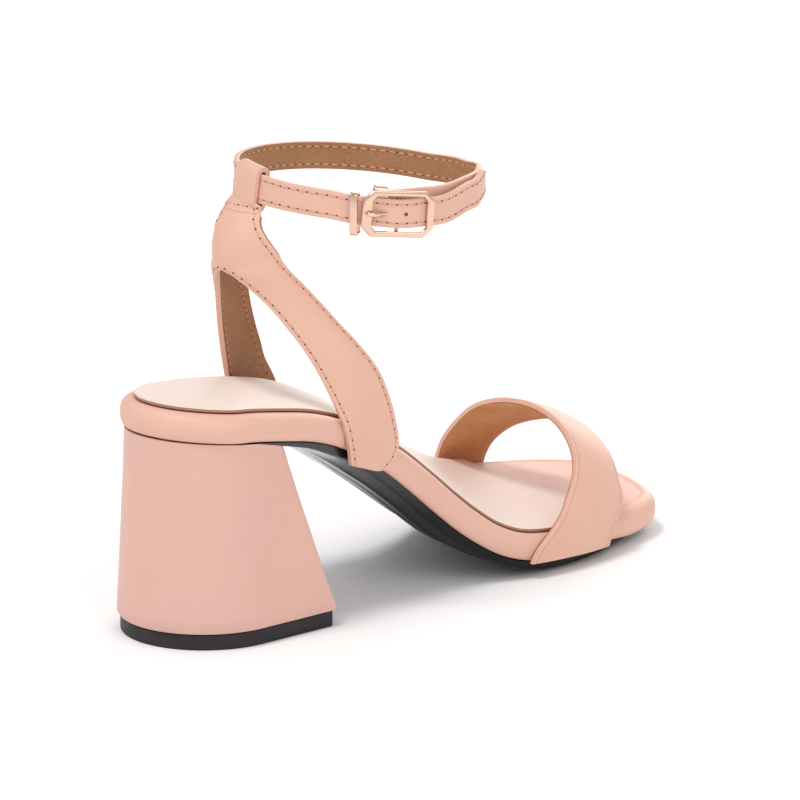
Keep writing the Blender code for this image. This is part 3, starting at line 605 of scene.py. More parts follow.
# %% The outsole
SOLE_FIRST_ROW = 5
SOLE_INSET = 1.5
SOLE_GAP = 0.3
SOLE_THICKNESS = 2.9
SOLE_SKIVE = 0.4
SOLE_TOE_SKIVE = 0.85
SOLE_TOE_INSET = 2.0
SOLE_CROWN_WAIST = 5.6
SOLE_CROWN_BALL = 3.6
SOLE_CROWN_TOE_LOSS = 0.6
SOLE_CROWN = (0.0, 0.72, 1.0)
SOLE_RIDGES = (0.17, 0.31)
SOLE_RIDGE_WIDTH = 0.018
SOLE_RIDGE_HEIGHT = 0.5
SOLE_COLUMNS = 48
SOLE_PROFILE = ((0.9, 0), (0, 0), (0, 0.08), (0, 0.35), (0, 0.65), (0.2, 0.86), (1, 1))
sole_toe = [bed.at_toe(edge.y / MM) for edge in bed.lateral]


def crown_shape(near):
    """How much of the crown's height a place has that lies so far from the nearer edge."""
    step = min(near * 6, 2)
    low = min(int(step), 1)
    return SOLE_CROWN[low] + (SOLE_CROWN[low + 1] - SOLE_CROWN[low]) * (step - low)


def sole_thickness(k):
    """How thick the sole's edge is: skived under the heel seat and thin round the toe."""
    f = min(max((k / STEPS_PER_ROW - SOLE_FIRST_ROW) / 2.5, 0.0), 1.0)
    thick = SOLE_SKIVE + (SOLE_THICKNESS - SOLE_SKIVE) * f
    return thick * (1 - SOLE_TOE_SKIVE * sole_toe[k]) * bed.factor[k] * MM


def sole_crown(k, f):
    """How far the sole's bottom drops at a station and a place across it."""
    waist = smooth((bed.lateral[k].z / MM - 20) / 25)
    near = min(f, 1 - f)
    height = SOLE_CROWN_BALL + (SOLE_CROWN_WAIST - SOLE_CROWN_BALL) * waist
    ridge = sum(math.exp(-((near - at) / SOLE_RIDGE_WIDTH) ** 2) for at in SOLE_RIDGES)
    drop = height * crown_shape(near) + ridge * SOLE_RIDGE_HEIGHT * waist
    start = smooth((k / STEPS_PER_ROW - SOLE_FIRST_ROW - 1) / 3)
    end = smooth((bed.last - k) / STEPS_PER_ROW / 4) * (1 - SOLE_CROWN_TOE_LOSS * sole_toe[k])
    return drop * MM * start * end


def sole_shape():
    stations = range(bed.last + 1)
    thick = [sole_thickness(k) for k in stations]
    top = [-bed.edge[k] - SOLE_GAP * MM * bed.factor[k] for k in stations]
    rings = []
    for inset, share in SOLE_PROFILE:
        rings.append(([(SOLE_INSET + SOLE_TOE_INSET * toe + inset) * MM for toe in sole_toe],
                      [t - d * share for t, d in zip(top, thick)]))
    return layer(SOLE_FIRST_ROW * STEPS_PER_ROW, rings, lower=sole_crown, floor=0.0,
                 columns=SOLE_COLUMNS)


outsole = object_from("black_outsole", sole_shape(), sole_gloss)
hand_over(outsole, "black_rubber", "outsole")

# %% [markdown]
# The heel is a leather-wrapped block whose plan is a D: half an oval at the back and a flat breast
# in front. It flares towards the floor, where a black floor piece is pinned on. Scaling a cylinder
# would bend the breast, so each level has its own plan, worked out from four sizes.

# %% The heel's plan
LIFT_HEIGHT = 5.2
LIFT_INSET = 1.1
LIFT_PROFILE = ((0.0, 0.3), (0.35, 0.0), (4.9, 0.0), (LIFT_HEIGHT, 0.3))
HEEL_GAP = 0.35
HEEL_CORNER = 1.6
HEEL_ARC = 28
SOLE_GROWS_OVER = 31
LEVELS_PER_ROW = 3
HEEL_ROWS = table(
    "level back side breast_side breast_y",
    (0.0, 28.7, 28.6, 30.2, 29.6),
    (0.015, 29.3, 29.2, 30.8, 30.1),
    (0.25, 28.5, 28.2, 29.2, 25.8),
    (0.5, 27.7, 27.3, 27.6, 21.4),
    (0.75, 26.9, 26.4, 26.0, 16.8),
    (1.0, 26.2, 25.7, 24.5, 12.3),
)


def heel_outline(row, inset=0.0):
    """Half of the heel's plan from its back to the middle of the breast, in millimetres."""
    back, side = row.back - inset, row.side - inset
    breast_side, breast_y = row.breast_side - inset, row.breast_y - inset
    half = []
    for k in range(HEEL_ARC + 1):
        angle = math.pi / 2 * k / HEEL_ARC
        half.append((side * math.sin(angle), -back * math.cos(angle)))
    for f in (0.25, 0.5, 0.75, 1.0 - HEEL_CORNER / breast_y):
        half.append((side + (breast_side - side) * f, breast_y * f))
    for k in range(1, 6):
        angle = math.pi / 2 * k / 5
        half.append((breast_side - HEEL_CORNER * (1 - math.cos(angle)),
                     breast_y - HEEL_CORNER * (1 - math.sin(angle))))
    half += [(half[-1][0] * f, breast_y) for f in (0.66, 0.33, 0.0)]
    return half


print("points in half a plan:", len(heel_outline(HEEL_ROWS[0])))

# %% [markdown]
# The heel's top is cut to the slope of the seat, with the sole's thin end let in between. So the
# levels are not flat: each runs at its share of the height between the floor piece and the seat.

# %% The heel and its floor piece
def height_along(edge, y):
    """The height of one edge of the footbed at a place along the shoe."""
    for low, high in zip(edge, edge[1:]):
        if y <= high.y or high is edge[-1]:
            return low.z + (high.z - low.z) * (y - low.y) / (high.y - low.y)


def seat_height(x, y):
    """The underside of the footbed and of the outsole's thin end, less the gap to the heel."""
    lateral = height_along(bed.lateral, max(y, bed.lateral[0].y))
    medial = height_along(bed.medial, max(y, bed.medial[0].y))
    f = 0.5 - 0.5 * x / (HEEL_RADIUS * MM)
    under = lateral + (medial - lateral) * min(max(f, 0.0), 1.0) - bed.edge[0]
    wedge = smooth((y / MM + 1.5) / 3)
    grown = max(y / MM, 0) / SOLE_GROWS_OVER
    sole = 0.2 + SOLE_SKIVE + (SOLE_THICKNESS - SOLE_SKIVE) * grown
    return under - (HEEL_GAP + (sole - HEEL_GAP) * wedge) * MM


def heel_levels(levels):
    """A solid through plans of the heel: each level is a row, an inset and a height(x, y)."""
    shape = bmesh.new()
    loops = []
    for row, inset, height in levels:
        half = heel_outline(row, inset)
        whole = half + [(-x, y) for x, y in half[-2:0:-1]]
        loops.append([shape.verts.new((x * MM, y * MM, height(x * MM, y * MM)))
                      for x, y in whole])
    for low, high in zip(loops, loops[1:]):
        for a in range(len(low)):
            b = (a + 1) % len(low)
            shape.faces.new((low[a], low[b], high[b], high[a]))
    shape.faces.new(loops[0])
    shape.faces.new(loops[-1])
    return shape


foot = (LIFT_HEIGHT + SOLE_GAP) * MM
heel_rows = [HEEL_ROWS[0], HEEL_ROWS[1]]
heel_rows += [spline_row(HEEL_ROWS, 1 + k / LEVELS_PER_ROW)
              for k in range(1, 4 * LEVELS_PER_ROW + 1)]
heel_steps = [(row, 0.0, lambda x, y, row=row: foot + (seat_height(x, y) - foot) * row.level)
              for row in heel_rows]
hand_over(object_from("wrapped_heel", heel_levels(heel_steps), heel_leather), "peach_leather",
          "heel_block")
lift_steps = [(HEEL_ROWS[1], LIFT_INSET + extra, lambda x, y, z=z: z * MM)
              for z, extra in LIFT_PROFILE]
hand_over(object_from("floor_piece", heel_levels(lift_steps), lift_black), "black_rubber",
          "top_lift")

# %% [markdown]
# A strap is two leathers stitched together, 1.8 mm thick. It starts as a fine sheet on its middle
# surface. A Solidify modifier gives the wall, with finishes of their own for the lining and the
# cut edge, and a small Bevel rounds the edges. Extruding by hand would give the same wall, but
# would have to tell the faces apart again. The sheet keeps the map of distances along the strap
# and from its edge.

# %% Strap sheets
STRAP_WALL = 1.8 * MM


def add_sheet(shape, rows, joined_from=None):
    """Add a sheet through rows of points. From one row on, its first column is no free edge."""
    maps = shape.loops.layers.uv
    cut = maps.get("Cut") or maps.new("Cut")
    verts = [[shape.verts.new(point) for point in row] for row in rows]
    along = [0.0]
    for low, high in zip(rows, rows[1:]):
        along.append(along[-1] + (high[len(high) // 2] - low[len(low) // 2]).length)

    def place(a, b):
        near = (rows[a][b] - rows[a][-1]).length
        if joined_from is None or a < joined_from:
            near = min(near, (rows[a][b] - rows[a][0]).length)
        return along[a] * CUT_MAP, near * CUT_MAP

    for a in range(len(rows) - 1):
        for b in range(len(rows[a]) - 1):
            corners = ((a, b), (a, b + 1), (a + 1, b + 1), (a + 1, b))
            face = shape.faces.new([verts[i][j] for i, j in corners])
            for loop, (i, j) in zip(face.loops, corners):
                loop[cut].uv = place(i, j)


def walled(name, shape, centre, materials, wall=STRAP_WALL, round_edge=0.35 * MM):
    """Give a sheet its wall. centre(point) lies on the sheet's inner side, near the point."""
    weld(shape)
    outward = 0.0
    for face in shape.faces:
        middle = face.calc_center_median()
        outward += face.normal.dot(middle - centre(middle)) * face.calc_area()
    if outward < 0:
        bmesh.ops.reverse_faces(shape, faces=shape.faces[:])
    thing = mesh_object(name, shape, materials)
    shell = thing.modifiers.new("wall", "SOLIDIFY")
    shell.thickness = wall
    shell.offset = 0
    shell.use_even_offset = True
    shell.material_offset = 1
    shell.material_offset_rim = 2
    soft = thing.modifiers.new("round_edge", "BEVEL")
    soft.width = round_edge
    soft.segments = 3
    soft.limit_method = "ANGLE"
    soft.angle_limit = math.radians(50)
    made = plain(thing)
    made.data.shade_smooth()
    return made


print("strap wall in mm:", round(STRAP_WALL / MM, 1))

# %% [markdown]
# Inside a strap its lining is a sheet of its own, a little wider than the folded outer leather, so
# a fine brown line shows along the edge. To lay it, a stitch or a crease on the strap, the script
# needs the direction that the strap faces at any point, which comes from two small steps on it.

# %% Linings and creases
LINING_SHEET = 0.3 * MM
LINING_GAP = 0.05 * MM


def facing_at(surface, u, f, centre):
    """A point of a strap's surface, and the direction in which its outer face looks there."""
    step_u = surface(u + 0.01, f) - surface(u - 0.01, f)
    step_f = surface(u, f + 0.01) - surface(u, f - 0.01)
    normal = step_u.cross(step_f).normalized()
    point = surface(u, f)
    return point, normal if normal.dot(point - centre(point)) >= 0 else -normal


def inner_lining(name, surfaces, us, fs, centre, finish):
    """The lining's own thin sheet, whose raw edge peeps out past the folded outer leather."""
    shape = bmesh.new()
    for surface in surfaces:
        rows = []
        for u in us:
            spots = [facing_at(surface, u, f, centre) for f in fs]
            rows.append([point - normal * (STRAP_WALL / 2 + LINING_GAP)
                         for point, normal in spots])
        add_sheet(shape, rows)
    hand_over(walled(name, shape, centre, (finish, finish, dark_edge_and_contact_shade), LINING_SHEET,
                     LINING_GAP), "peach_leather")


def creases(place, rows):
    """The depth of creases: each row is where, how wide and how deep in mm."""
    return sum(deep * math.exp(-((place - at) / wide) ** 2) for at, wide, deep in rows) * MM


# %% [markdown]
# Stitches repeat along a line, which is what Geometry Nodes do well. The tree takes a guide of
# edges that knows which way its surface faces, steps along it by the pitch and lays a small thread,
# or a dark bead of painted shade for a needle hole, at each step, turned along the line.

# %% The stitching tree
STITCH_SIZES = {"Pitch": 3.2 * MM, "Shift": 0.0, "Length": 1.5 * MM, "Width": 0.5 * MM,
                "Height": 0.4 * MM}


def stitch_tree():
    tree = bpy.data.node_groups.new("stitch_row", "GeometryNodeTree")
    socket = tree.interface.new_socket
    socket("Guide", in_out="INPUT", socket_type="NodeSocketGeometry")
    for name, size in STITCH_SIZES.items():
        socket(name, in_out="INPUT", socket_type="NodeSocketFloat").default_value = size
    socket("Finish", in_out="INPUT", socket_type="NodeSocketMaterial")
    socket("Stitches", in_out="OUTPUT", socket_type="NodeSocketGeometry")

    def node(kind, settings=(), **inputs):
        """Add a node with its settings, then give each named input a value or a link."""
        made = tree.nodes.new(kind)
        for name, value in settings:
            setattr(made, name, value)
        for name, value in inputs.items():
            into = made.inputs[name.replace("_", " ")]
            if isinstance(value, bpy.types.NodeSocket):
                tree.links.new(value, into)
            else:
                into.default_value = value
        return made

    given = node("NodeGroupInput").outputs
    line = node("GeometryNodeMeshToCurve", Mesh=given["Guide"])
    steps = node("GeometryNodeResampleCurve", [("mode", "LENGTH")], Curve=line.outputs[0],
                 Length=given["Pitch"])
    facing = node("GeometryNodeInputNamedAttribute", [("data_type", "FLOAT_VECTOR")],
                  Name="facing")
    along = node("GeometryNodeInputTangent")
    turn = node("FunctionNodeAxesToRotation", [("primary_axis", "Y"), ("secondary_axis", "Z")],
                Primary_Axis=along.outputs[0], Secondary_Axis=facing.outputs["Attribute"])
    bead = node("GeometryNodeMeshUVSphere", Segments=8, Rings=5, Radius=0.5)
    size = node("ShaderNodeCombineXYZ", X=given["Width"], Y=given["Length"], Z=given["Height"])
    shift = node("ShaderNodeCombineXYZ", Y=given["Shift"])
    form = node("GeometryNodeTransform", Geometry=bead.outputs["Mesh"],
                Translation=shift.outputs[0], Scale=size.outputs[0])
    laid = node("GeometryNodeInstanceOnPoints", Points=steps.outputs[0],
                Instance=form.outputs[0], Rotation=turn.outputs[0])
    real = node("GeometryNodeRealizeInstances", Geometry=laid.outputs[0])
    soft = node("GeometryNodeSetShadeSmooth", Geometry=real.outputs[0])
    dress = node("GeometryNodeSetMaterial", Geometry=soft.outputs[0], Material=given["Finish"])
    node("NodeGroupOutput", Stitches=dress.outputs[0])
    return tree


stitching = stitch_tree()
print("stitching nodes:", len(stitching.nodes))

# %% [markdown]
# Sewing a row takes two passes with the same tree: the threads, and between them dark beads of
# painted shade for the holes where the needle pulls the leather in. A row is a line at a fixed
# distance from a strap's edge.

# %% Sewing
def stitch(name, rows, finish, **sizes):
    """Lay stitches along rows of (point, facing), as one plain mesh piece."""
    points, edges, facings = [], [], []
    for row in rows:
        for k, (point, facing) in enumerate(row):
            if k:
                edges.append((len(points) - 1, len(points)))
            points.append(point)
            facings.append(facing)
    mesh = bpy.data.meshes.new(name)
    mesh.from_pydata(points, edges, [])
    attribute = mesh.attributes.new("facing", "FLOAT_VECTOR", "POINT")
    attribute.data.foreach_set("vector", [v for facing in facings for v in facing])
    guide = new_object(name, mesh)
    needle = guide.modifiers.new("sew", "NODES")
    needle.node_group = stitching
    keys = {item.name: item.identifier for item in stitching.interface.items_tree
            if item.in_out == "INPUT"}
    needle[keys["Finish"]] = finish
    for key, value in sizes.items():
        needle[keys[key]] = value * MM
    hand_over(plain(guide), "peach_leather")


def sew(name, rows, thread=thread_outer):
    """A row of threads with a dark bead of painted shade for a needle hole between each two."""
    stitch(name + "_thread", rows, thread, Length=2.3, Width=0.6, Height=0.5)
    stitch(name + "_shade_beads", rows, hole_shade_finish, Shift=1.6, Length=0.9, Width=0.6, Height=0.3)


def seam(surface, across, us, side, centre, lift=0.0):
    """A row of (point, facing) on a strap's face. across(u) is the place between its edges."""
    row = []
    for u in us:
        point, normal = facing_at(surface, u, across(u), centre)
        row.append((point + normal * side * (STRAP_WALL / 2 + lift), normal * side))
    return row


def inset_from(surface, edge, distance):
    """The place across a strap that lies so far from one of its edges."""
    def across(u):
        f = min(distance / (surface(u, 1.0) - surface(u, 0.0)).length, 0.5)
        return f if edge == 0 else 1 - f
    return across


# %% [markdown]
# The toe strap is one wide band, folded over and turned in at both edges, so a narrow band of the
# outer leather shows beside its lining. Its ends run down over the rim to the sole. Both edges
# are measured in the photo, since neither is a plain arc, and the band between them bows.

# %% The toe strap
TOE_STRAP_ROWS = table(
    "back_x back_y back_z front_x front_y front_z bow",
    (37.4, 112.6, 5.6, 38.0, 150.4, 4.4, 2.0),
    (38.0, 116.0, 10.4, 37.9, 152.2, 8.6, 1.8),
    (38.3, 123.6, 17.4, 37.2, 155.2, 13.6, 1.5),
    (36.9, 131.6, 24.8, 35.2, 158.8, 19.0, 1.3),
    (33.3, 138.8, 32.5, 31.4, 162.0, 25.0, 1.2),
    (27.4, 143.2, 39.4, 25.2, 165.0, 30.8, 1.1),
    (18.6, 145.6, 45.4, 15.8, 168.0, 35.6, 1.0),
    (7.5, 146.2, 48.8, 5.0, 170.2, 38.4, 1.0),
    (-3.5, 146.0, 49.1, -6.0, 170.9, 38.4, 1.0),
    (-14.0, 146.2, 47.0, -16.0, 170.9, 36.2, 1.0),
    (-24.2, 147.2, 42.6, -26.2, 171.2, 32.2, 1.1),
    (-33.8, 149.2, 35.4, -35.2, 172.6, 26.6, 1.2),
    (-41.8, 151.2, 27.6, -42.2, 174.8, 20.6, 1.3),
    (-46.6, 152.8, 20.2, -46.4, 176.4, 14.6, 1.3),
    (-48.4, 152.8, 13.6, -47.4, 177.0, 9.4, 1.2),
    (-48.6, 152.6, 8.8, -47.4, 177.2, 6.2, 1.0),
)
FOOT_SIDE = 12
RIM_CLEARANCE = 1.35
STRAP_LEAVES_RIM = {1: (25.0, 9.0), -1: (16.0, 8.0)}
TOE_LINING_FROM = 0.4
TOE_LINING_PEEP = -0.008
TOE_CREASES = ((2.7, 0.09, -0.22), (3.3, 0.07, -0.16), (6.1, 0.16, -0.12), (12.3, 0.1, -0.2))


def toe_strap_surface(u, f):
    row = spline_row(TOE_STRAP_ROWS, u)
    back = Vector((row.back_x, row.back_y, row.back_z)) * MM
    front = Vector((row.front_x, row.front_y, row.front_z)) * MM
    point = back.lerp(front, f)
    away = Vector((point.x, 0, max(point.z - FOOT_SIDE * MM, 0) * 1.2)).normalized()
    point += away * row.bow * MM * 4 * f * (1 - f)
    point += away * creases(u + 0.35 * f, TOE_CREASES) * smooth(f * 5) * smooth(5 - f * 5)
    side = 1 if point.x > 0 else -1
    rim = bed.side_x(side, point.y) + RIM_CLEARANCE * MM
    leaves, over = STRAP_LEAVES_RIM[side]
    hold = smooth((leaves * MM - point.z) / (over * MM))
    if abs(point.x) < rim:
        point.x += side * (rim - abs(point.x)) * hold
    return point


def toe_centre(point):
    return Vector((0, point.y, 10 * MM))


toe_last = len(TOE_STRAP_ROWS) - 1
toe_shape = bmesh.new()
add_sheet(toe_shape, [[toe_strap_surface(u, f) for f in span(0, 1, 24)]
                      for u in span(0, toe_last, 150)])
toe_strap = walled("toe_band", toe_shape, toe_centre, (toe_leather, toe_lining, strap_leather),
                   round_edge=0.55 * MM)
hand_over(toe_strap, "peach_leather", "toe_strap")
inner_lining("toe_lining_sheet", [toe_strap_surface],
             span(TOE_LINING_FROM, toe_last - TOE_LINING_FROM, 100),
             [TOE_LINING_PEEP] + span(0.1, 0.95, 12), toe_centre, toe_sheet_lining)

# %% [markdown]
# The heel sling is cut as a fork: two legs rise from under the rim, join behind the heel and end
# in a tab that folds over the ankle strap. The lateral leg's edges are measured, and the medial
# leg is its mirror image with a foot that ends higher. Both are sheets, joined along the neck.

# %% The heel sling
SLING_ROWS = table(
    "back_x back_y back_z front_x front_y front_z bow medial_rise",
    (28.1, 37.8, 52.0, 28.3, 54.6, 46.2, 0.0, 7.2),
    (28.2, 36.9, 57.8, 28.7, 58.6, 54.8, 0.2, 5.4),
    (27.4, 35.4, 65.5, 29.4, 56.4, 64.8, 0.6, 3.2),
    (25.4, 32.6, 73.8, 30.0, 52.6, 74.2, 1.2, 1.4),
    (22.9, 29.1, 82.5, 28.6, 49.2, 82.4, 1.7, 0.4),
    (19.9, 25.4, 90.6, 25.3, 44.0, 90.6, 2.0, 0.0),
    (16.4, 21.6, 97.8, 21.2, 38.6, 98.2, 2.2, 0.0),
    (12.4, 17.6, 104.8, 17.4, 33.8, 105.2, 2.4, 0.0),
    (8.3, 13.7, 110.6, 14.6, 29.0, 111.4, 2.9, 0.0),
    (4.0, 9.9, 115.4, 13.0, 24.0, 117.2, 3.2, 0.0),
    (0.0, 8.4, 117.6, 12.3, 20.6, 122.4, 2.9, 0.0),
    (0.0, 8.9, 124.6, 10.9, 17.0, 128.0, 1.7, 0.0),
    (0.0, 12.6, 131.4, 9.0, 16.4, 132.4, 0.8, 0.0),
    (0.0, 18.2, 137.4, 7.4, 18.6, 137.3, 0.2, 0.0),
)
SLING_CREASES = ((0.55, 0.1, -0.2), (1.0, 0.12, -0.25), (1.7, 0.1, -0.15), (9.6, 0.2, -0.15))
HEM_CORNER = 0.9
HEM_CORNER_CUT = 0.34
CROTCH_ROW = 10
sling_last = len(SLING_ROWS) - 1


def sling_surface(side):
    def surface(u, f):
        corner = max(1 - u / HEM_CORNER, 0.0)
        f *= 1 - HEM_CORNER_CUT * (1 - math.sqrt(1 - corner * corner))
        row = spline_row(SLING_ROWS, u)
        back = Vector((row.back_x, row.back_y, row.back_z))
        front = Vector((row.front_x, row.front_y, row.front_z))
        if u >= CROTCH_ROW:
            back.x = 0.0
        away = (front - back).cross(UP).normalized()
        rise = 0.0 if side > 0 else max(row.medial_rise, 0.0)
        point = back.lerp(front, f) + away * row.bow * 4 * f * (1 - f)
        point += away * creases(u - 0.3 * f, SLING_CREASES) / MM * 4 * f * (1 - f)
        return Vector((side * point.x, point.y, point.z + rise)) * MM
    return surface


def sling_centre(point):
    return Vector((0, 55 * MM, point.z))


SLING_STEPS = 8
SLING_LINING_FROM, SLING_LINING_TO = 0.5, 12.4
SLING_LINING_PEEP = 1.045
LINED_STRAP = (strap_leather, strap_lining, strap_leather)
sling_sides = [sling_surface(side) for side in (1, -1)]
sling_shape = bmesh.new()
for surface in sling_sides:
    add_sheet(sling_shape, [[surface(u, f) for f in span(0, 1, 14)]
                            for u in span(0, sling_last, sling_last * SLING_STEPS)],
              CROTCH_ROW * SLING_STEPS)
hand_over(walled("sling_leather", sling_shape, sling_centre, LINED_STRAP), "peach_leather",
          "heel_sling")
inner_lining("sling_lining_sheet", sling_sides, span(SLING_LINING_FROM, SLING_LINING_TO, 90),
             span(0.04, 0.98, 10) + [SLING_LINING_PEEP], sling_centre, strap_lining)

# %% [markdown]
# The ankle strap hangs in a tilted oval. The tab, the buckle and its loops sit on the same oval,
# so its axes at any angle are worked out once. A row of the strap's table says how far outside the
# oval and how high the strap runs there, because at the buckle it overlaps itself.

# %% The strap's oval
RING_CENTRE = Vector((10.1 * MM, 60.7 * MM, 0))
RING_RADII = (37.9 * MM, 41.2 * MM)
RING_TURN = math.radians(-17)
RING_HEIGHT = 140.8 * MM
RING_SLOPE_X = -0.085
RING_SLOPE_Y = -0.058
RING_SLOPE_FROM_Y = 60 * MM
STRAP_WIDTH = 9.2 * MM
TAB_ANGLE = 273.0
TAB_LEAN = 0.2
TAB_LEAN_SPREAD = 34.0
BUCKLE_ANGLE = 351.0
STRAP_ROWS = table(
    "angle out rise",
    (-18.0, -1.9, 1.2),
    (10.0, -2.1, 2.4),
    (40.0, -2.3, 4.2),
    (66.0, -2.3, 4.2),
    (98.0, -0.7, 1.4),
    (125.0, 0.0, 0.0),
    (318.0, 0.0, 0.0),
    (334.0, 1.7, -0.5),
    (351.0, 1.9, -1.0),
    (368.0, 1.6, -0.3),
    (395.0, 0.3, 3.0),
    (412.0, -0.1, 5.4),
)


def ring_axes(angle):
    turn = math.radians(angle)
    spin = Matrix.Rotation(RING_TURN, 3, "Z")
    a, b = RING_RADII
    point = RING_CENTRE + spin @ Vector((a * math.cos(turn), b * math.sin(turn), 0))
    along = (spin @ Vector((-a * math.sin(turn), b * math.cos(turn), 0))).normalized()
    slope = RING_SLOPE_X * point.x + RING_SLOPE_Y * (point.y - RING_SLOPE_FROM_Y)
    point.z = RING_HEIGHT + slope
    return point, along, along.cross(UP)


def ring_point(angle, out, rise):
    point, _, outward = ring_axes(angle)
    lean = TAB_LEAN * smooth(1 - abs(angle - TAB_ANGLE) / TAB_LEAN_SPREAD)
    return point + outward * (out - lean * rise) + UP * rise


def strap_section(angle):
    for low, high in zip(STRAP_ROWS, STRAP_ROWS[1:]):
        if angle <= high.angle or high is STRAP_ROWS[-1]:
            f = smooth((angle - low.angle) / (high.angle - low.angle))
            out = low.out + (high.out - low.out) * f
            return out * MM, (low.rise + (high.rise - low.rise) * f) * MM


print("oval in mm:", [round(2 * r / MM, 1) for r in RING_RADII])

# %% [markdown]
# The strap itself is a plain leather ribbon along that oval, a little more than one turn long, with
# rounded ends and a few shallow creases where it was bent through the buckle.

# %% The ankle strap
ANKLE_CREASES = ((374, 1.8, -0.12), (380, 1.5, -0.16), (387, 2.0, -0.12), (62, 1.8, -0.12))


def ankle_surface(angle, f):
    out, rise = strap_section(angle)
    out += creases(angle + 2 * f, ANKLE_CREASES)
    return ring_point(angle, out, rise + STRAP_WIDTH * (f - 0.5))


def ankle_centre(point):
    return Vector((RING_CENTRE.x, RING_CENTRE.y, point.z))


DEGREE = 0.7 * MM
END_ROUND = 2 * MM
END_TRIM = 0.2
ANKLE_STEPS = 215
strap_first = STRAP_ROWS[0].angle
strap_last = STRAP_ROWS[-1].angle
ankle_grid = []
for angle in span(strap_first, strap_last, ANKLE_STEPS):
    to_end = min(angle - strap_first, strap_last - angle) * DEGREE / END_ROUND
    trim = END_TRIM * (1 - math.sqrt(min(max(to_end, 0), 1)))
    ankle_grid.append([ankle_surface(angle, trim + f * (1 - 2 * trim)) for f in span(0, 1, 8)])
ankle_shape = bmesh.new()
add_sheet(ankle_shape, ankle_grid)
hand_over(walled("ankle_ribbon", ankle_shape, ankle_centre, LINED_STRAP, round_edge=0.3 * MM),
          "peach_leather", "ankle_strap")

# %% [markdown]
# The sling's tab is the same leather folded over the strap: up its outer face, over the top, down
# the inner face and back under it, sewn to itself below. It is a sheet along that folded path.

# %% The tab
TAB_HALF_ANGLE = 9.6
TAB_WALL = 1.6 * MM
TAB_PLAY = 0.35 * MM


def tab_path():
    """The fold round the strap in its (out, up) plane, as the middle of the leather."""
    depth = STRAP_WALL / 2 + TAB_PLAY + TAB_WALL / 2
    height = STRAP_WIDTH / 2 + TAB_PLAY + TAB_WALL / 2
    path = [(depth, -height * f) for f in (0.8, 0.45, 0.0, -0.45)]
    for k in range(9):
        angle = math.pi * k / 8
        path.append((depth * math.cos(angle), height - depth * 0.8 + depth * math.sin(angle)))
    path += [(-depth, -height * f) for f in (-0.45, 0.0, 0.45, 0.8)]
    return path + [(-depth * 0.7, -height - 0.6 * MM), (depth * 0.1, -height - 1.5 * MM)]


def on_neck(u, across, lift):
    """A place on the sling's neck, from -1 at its medial edge to 1 at its lateral one."""
    surface = sling_sides[0 if across > 0 else 1]
    point, normal = facing_at(surface, u, abs(across), sling_centre)
    return point + normal * lift * MM, normal


def tab_centre(point):
    middle = ring_point(TAB_ANGLE, 0, 0)
    return Vector((point.x, middle.y, middle.z))


tab_across = span(-1, 1, 11)
tab_grid = []
for u, reach, lift in ((12.45, 0.93, 0.3), (12.6, 0.96, 0.32), (12.8, 0.98, 0.4)):
    tab_grid.append([on_neck(u, reach * f, lift)[0] for f in tab_across])
for out, rise in tab_path():
    tab_grid.append([ring_point(TAB_ANGLE + TAB_HALF_ANGLE * f, out, rise) for f in tab_across])
tab_shape = bmesh.new()
fine = len(tab_grid) - 1
add_sheet(tab_shape, [[Vector(spline_row([row[b] for row in tab_grid], t))
                       for b in range(len(tab_across))] for t in span(0, fine, fine * 3)])
hand_over(walled("sling_tab", tab_shape, tab_centre, LINED_STRAP, TAB_WALL), "peach_leather")

# %% [markdown]
# The rows of stitching follow each strap's edges, on the outer face and on the lining. The ankle
# strap's rows stop at the tab, which hides the strap there.

# %% Stitch the straps
SEAM_INSET = 1.6 * MM
TAB_CLEAR = 11
TAB_SEAM = 12.72
TAB_SEAM_LIFT = 1.14
SEAM_FROM = 0.25
LINING_SEAM_LIFT = 0.2 * MM
sling_rows, sling_lining_rows = [], []
for surface in sling_sides:
    for edge, end in ((0, CROTCH_ROW - 0.3), (1, sling_last - 0.6)):
        across = inset_from(surface, edge, SEAM_INSET)
        us = span(SEAM_FROM, end, 90)
        sling_rows.append(seam(surface, across, us, 1, sling_centre))
        sling_lining_rows.append(seam(surface, across, us, -1, sling_centre, LINING_SEAM_LIFT))
sew("sling_seam", sling_rows)
sew("sling_lining_seam", sling_lining_rows, thread_lining)

to_tab, from_tab = TAB_ANGLE - TAB_CLEAR, TAB_ANGLE + TAB_CLEAR
outer_spans = ((57, to_tab), (from_tab, strap_last - 3))
lining_spans = ((strap_first + 4, to_tab), (from_tab, 335))
for name, spans, side, thread in (("ankle_seam", outer_spans, 1, thread_outer),
                                  ("ankle_lining_seam", lining_spans, -1, thread_lining)):
    rows = []
    for edge in (0, 1):
        across = inset_from(ankle_surface, edge, SEAM_INSET)
        rows += [seam(ankle_surface, across, span(start, end, 150), side, ankle_centre)
                 for start, end in spans]
    sew(name, rows, thread)
tab_row = [on_neck(TAB_SEAM, across, TAB_SEAM_LIFT) for across in span(-0.8, 0.72, 12)]
sew("tab_seam", [tab_row])

# %% [markdown]
# The buckle is cast metal with cut corners, polished and plated. Its frame starts as a flat curve
# with a hole in it, gets its thickness and a bevel, and is moved into the buckle's own axes:
# X along the strap, Y up, Z outward. A beveled cube with a cut would need a boolean, and leaves
# worse corners.

# %% The buckle's frame
FRAME_LENGTH = 24.4 * MM
FRAME_HEIGHT = 15.0 * MM
FRAME_BAR = 1.85 * MM
FRAME_LEFT_BAR = 3.5 * MM
FRAME_RIGHT_BAR = 2.5 * MM
FRAME_CORNER = 3.2 * MM
FRAME_CORNER_INSIDE = 1.4 * MM
FRAME_THICKNESS = 1.5 * MM
FRAME_LIFT = 1.75 * MM
FRAME_SHIFT = -0.7 * MM
FRAME_DROP = 1.0 * MM
FRAME_BEVEL = 0.5 * MM


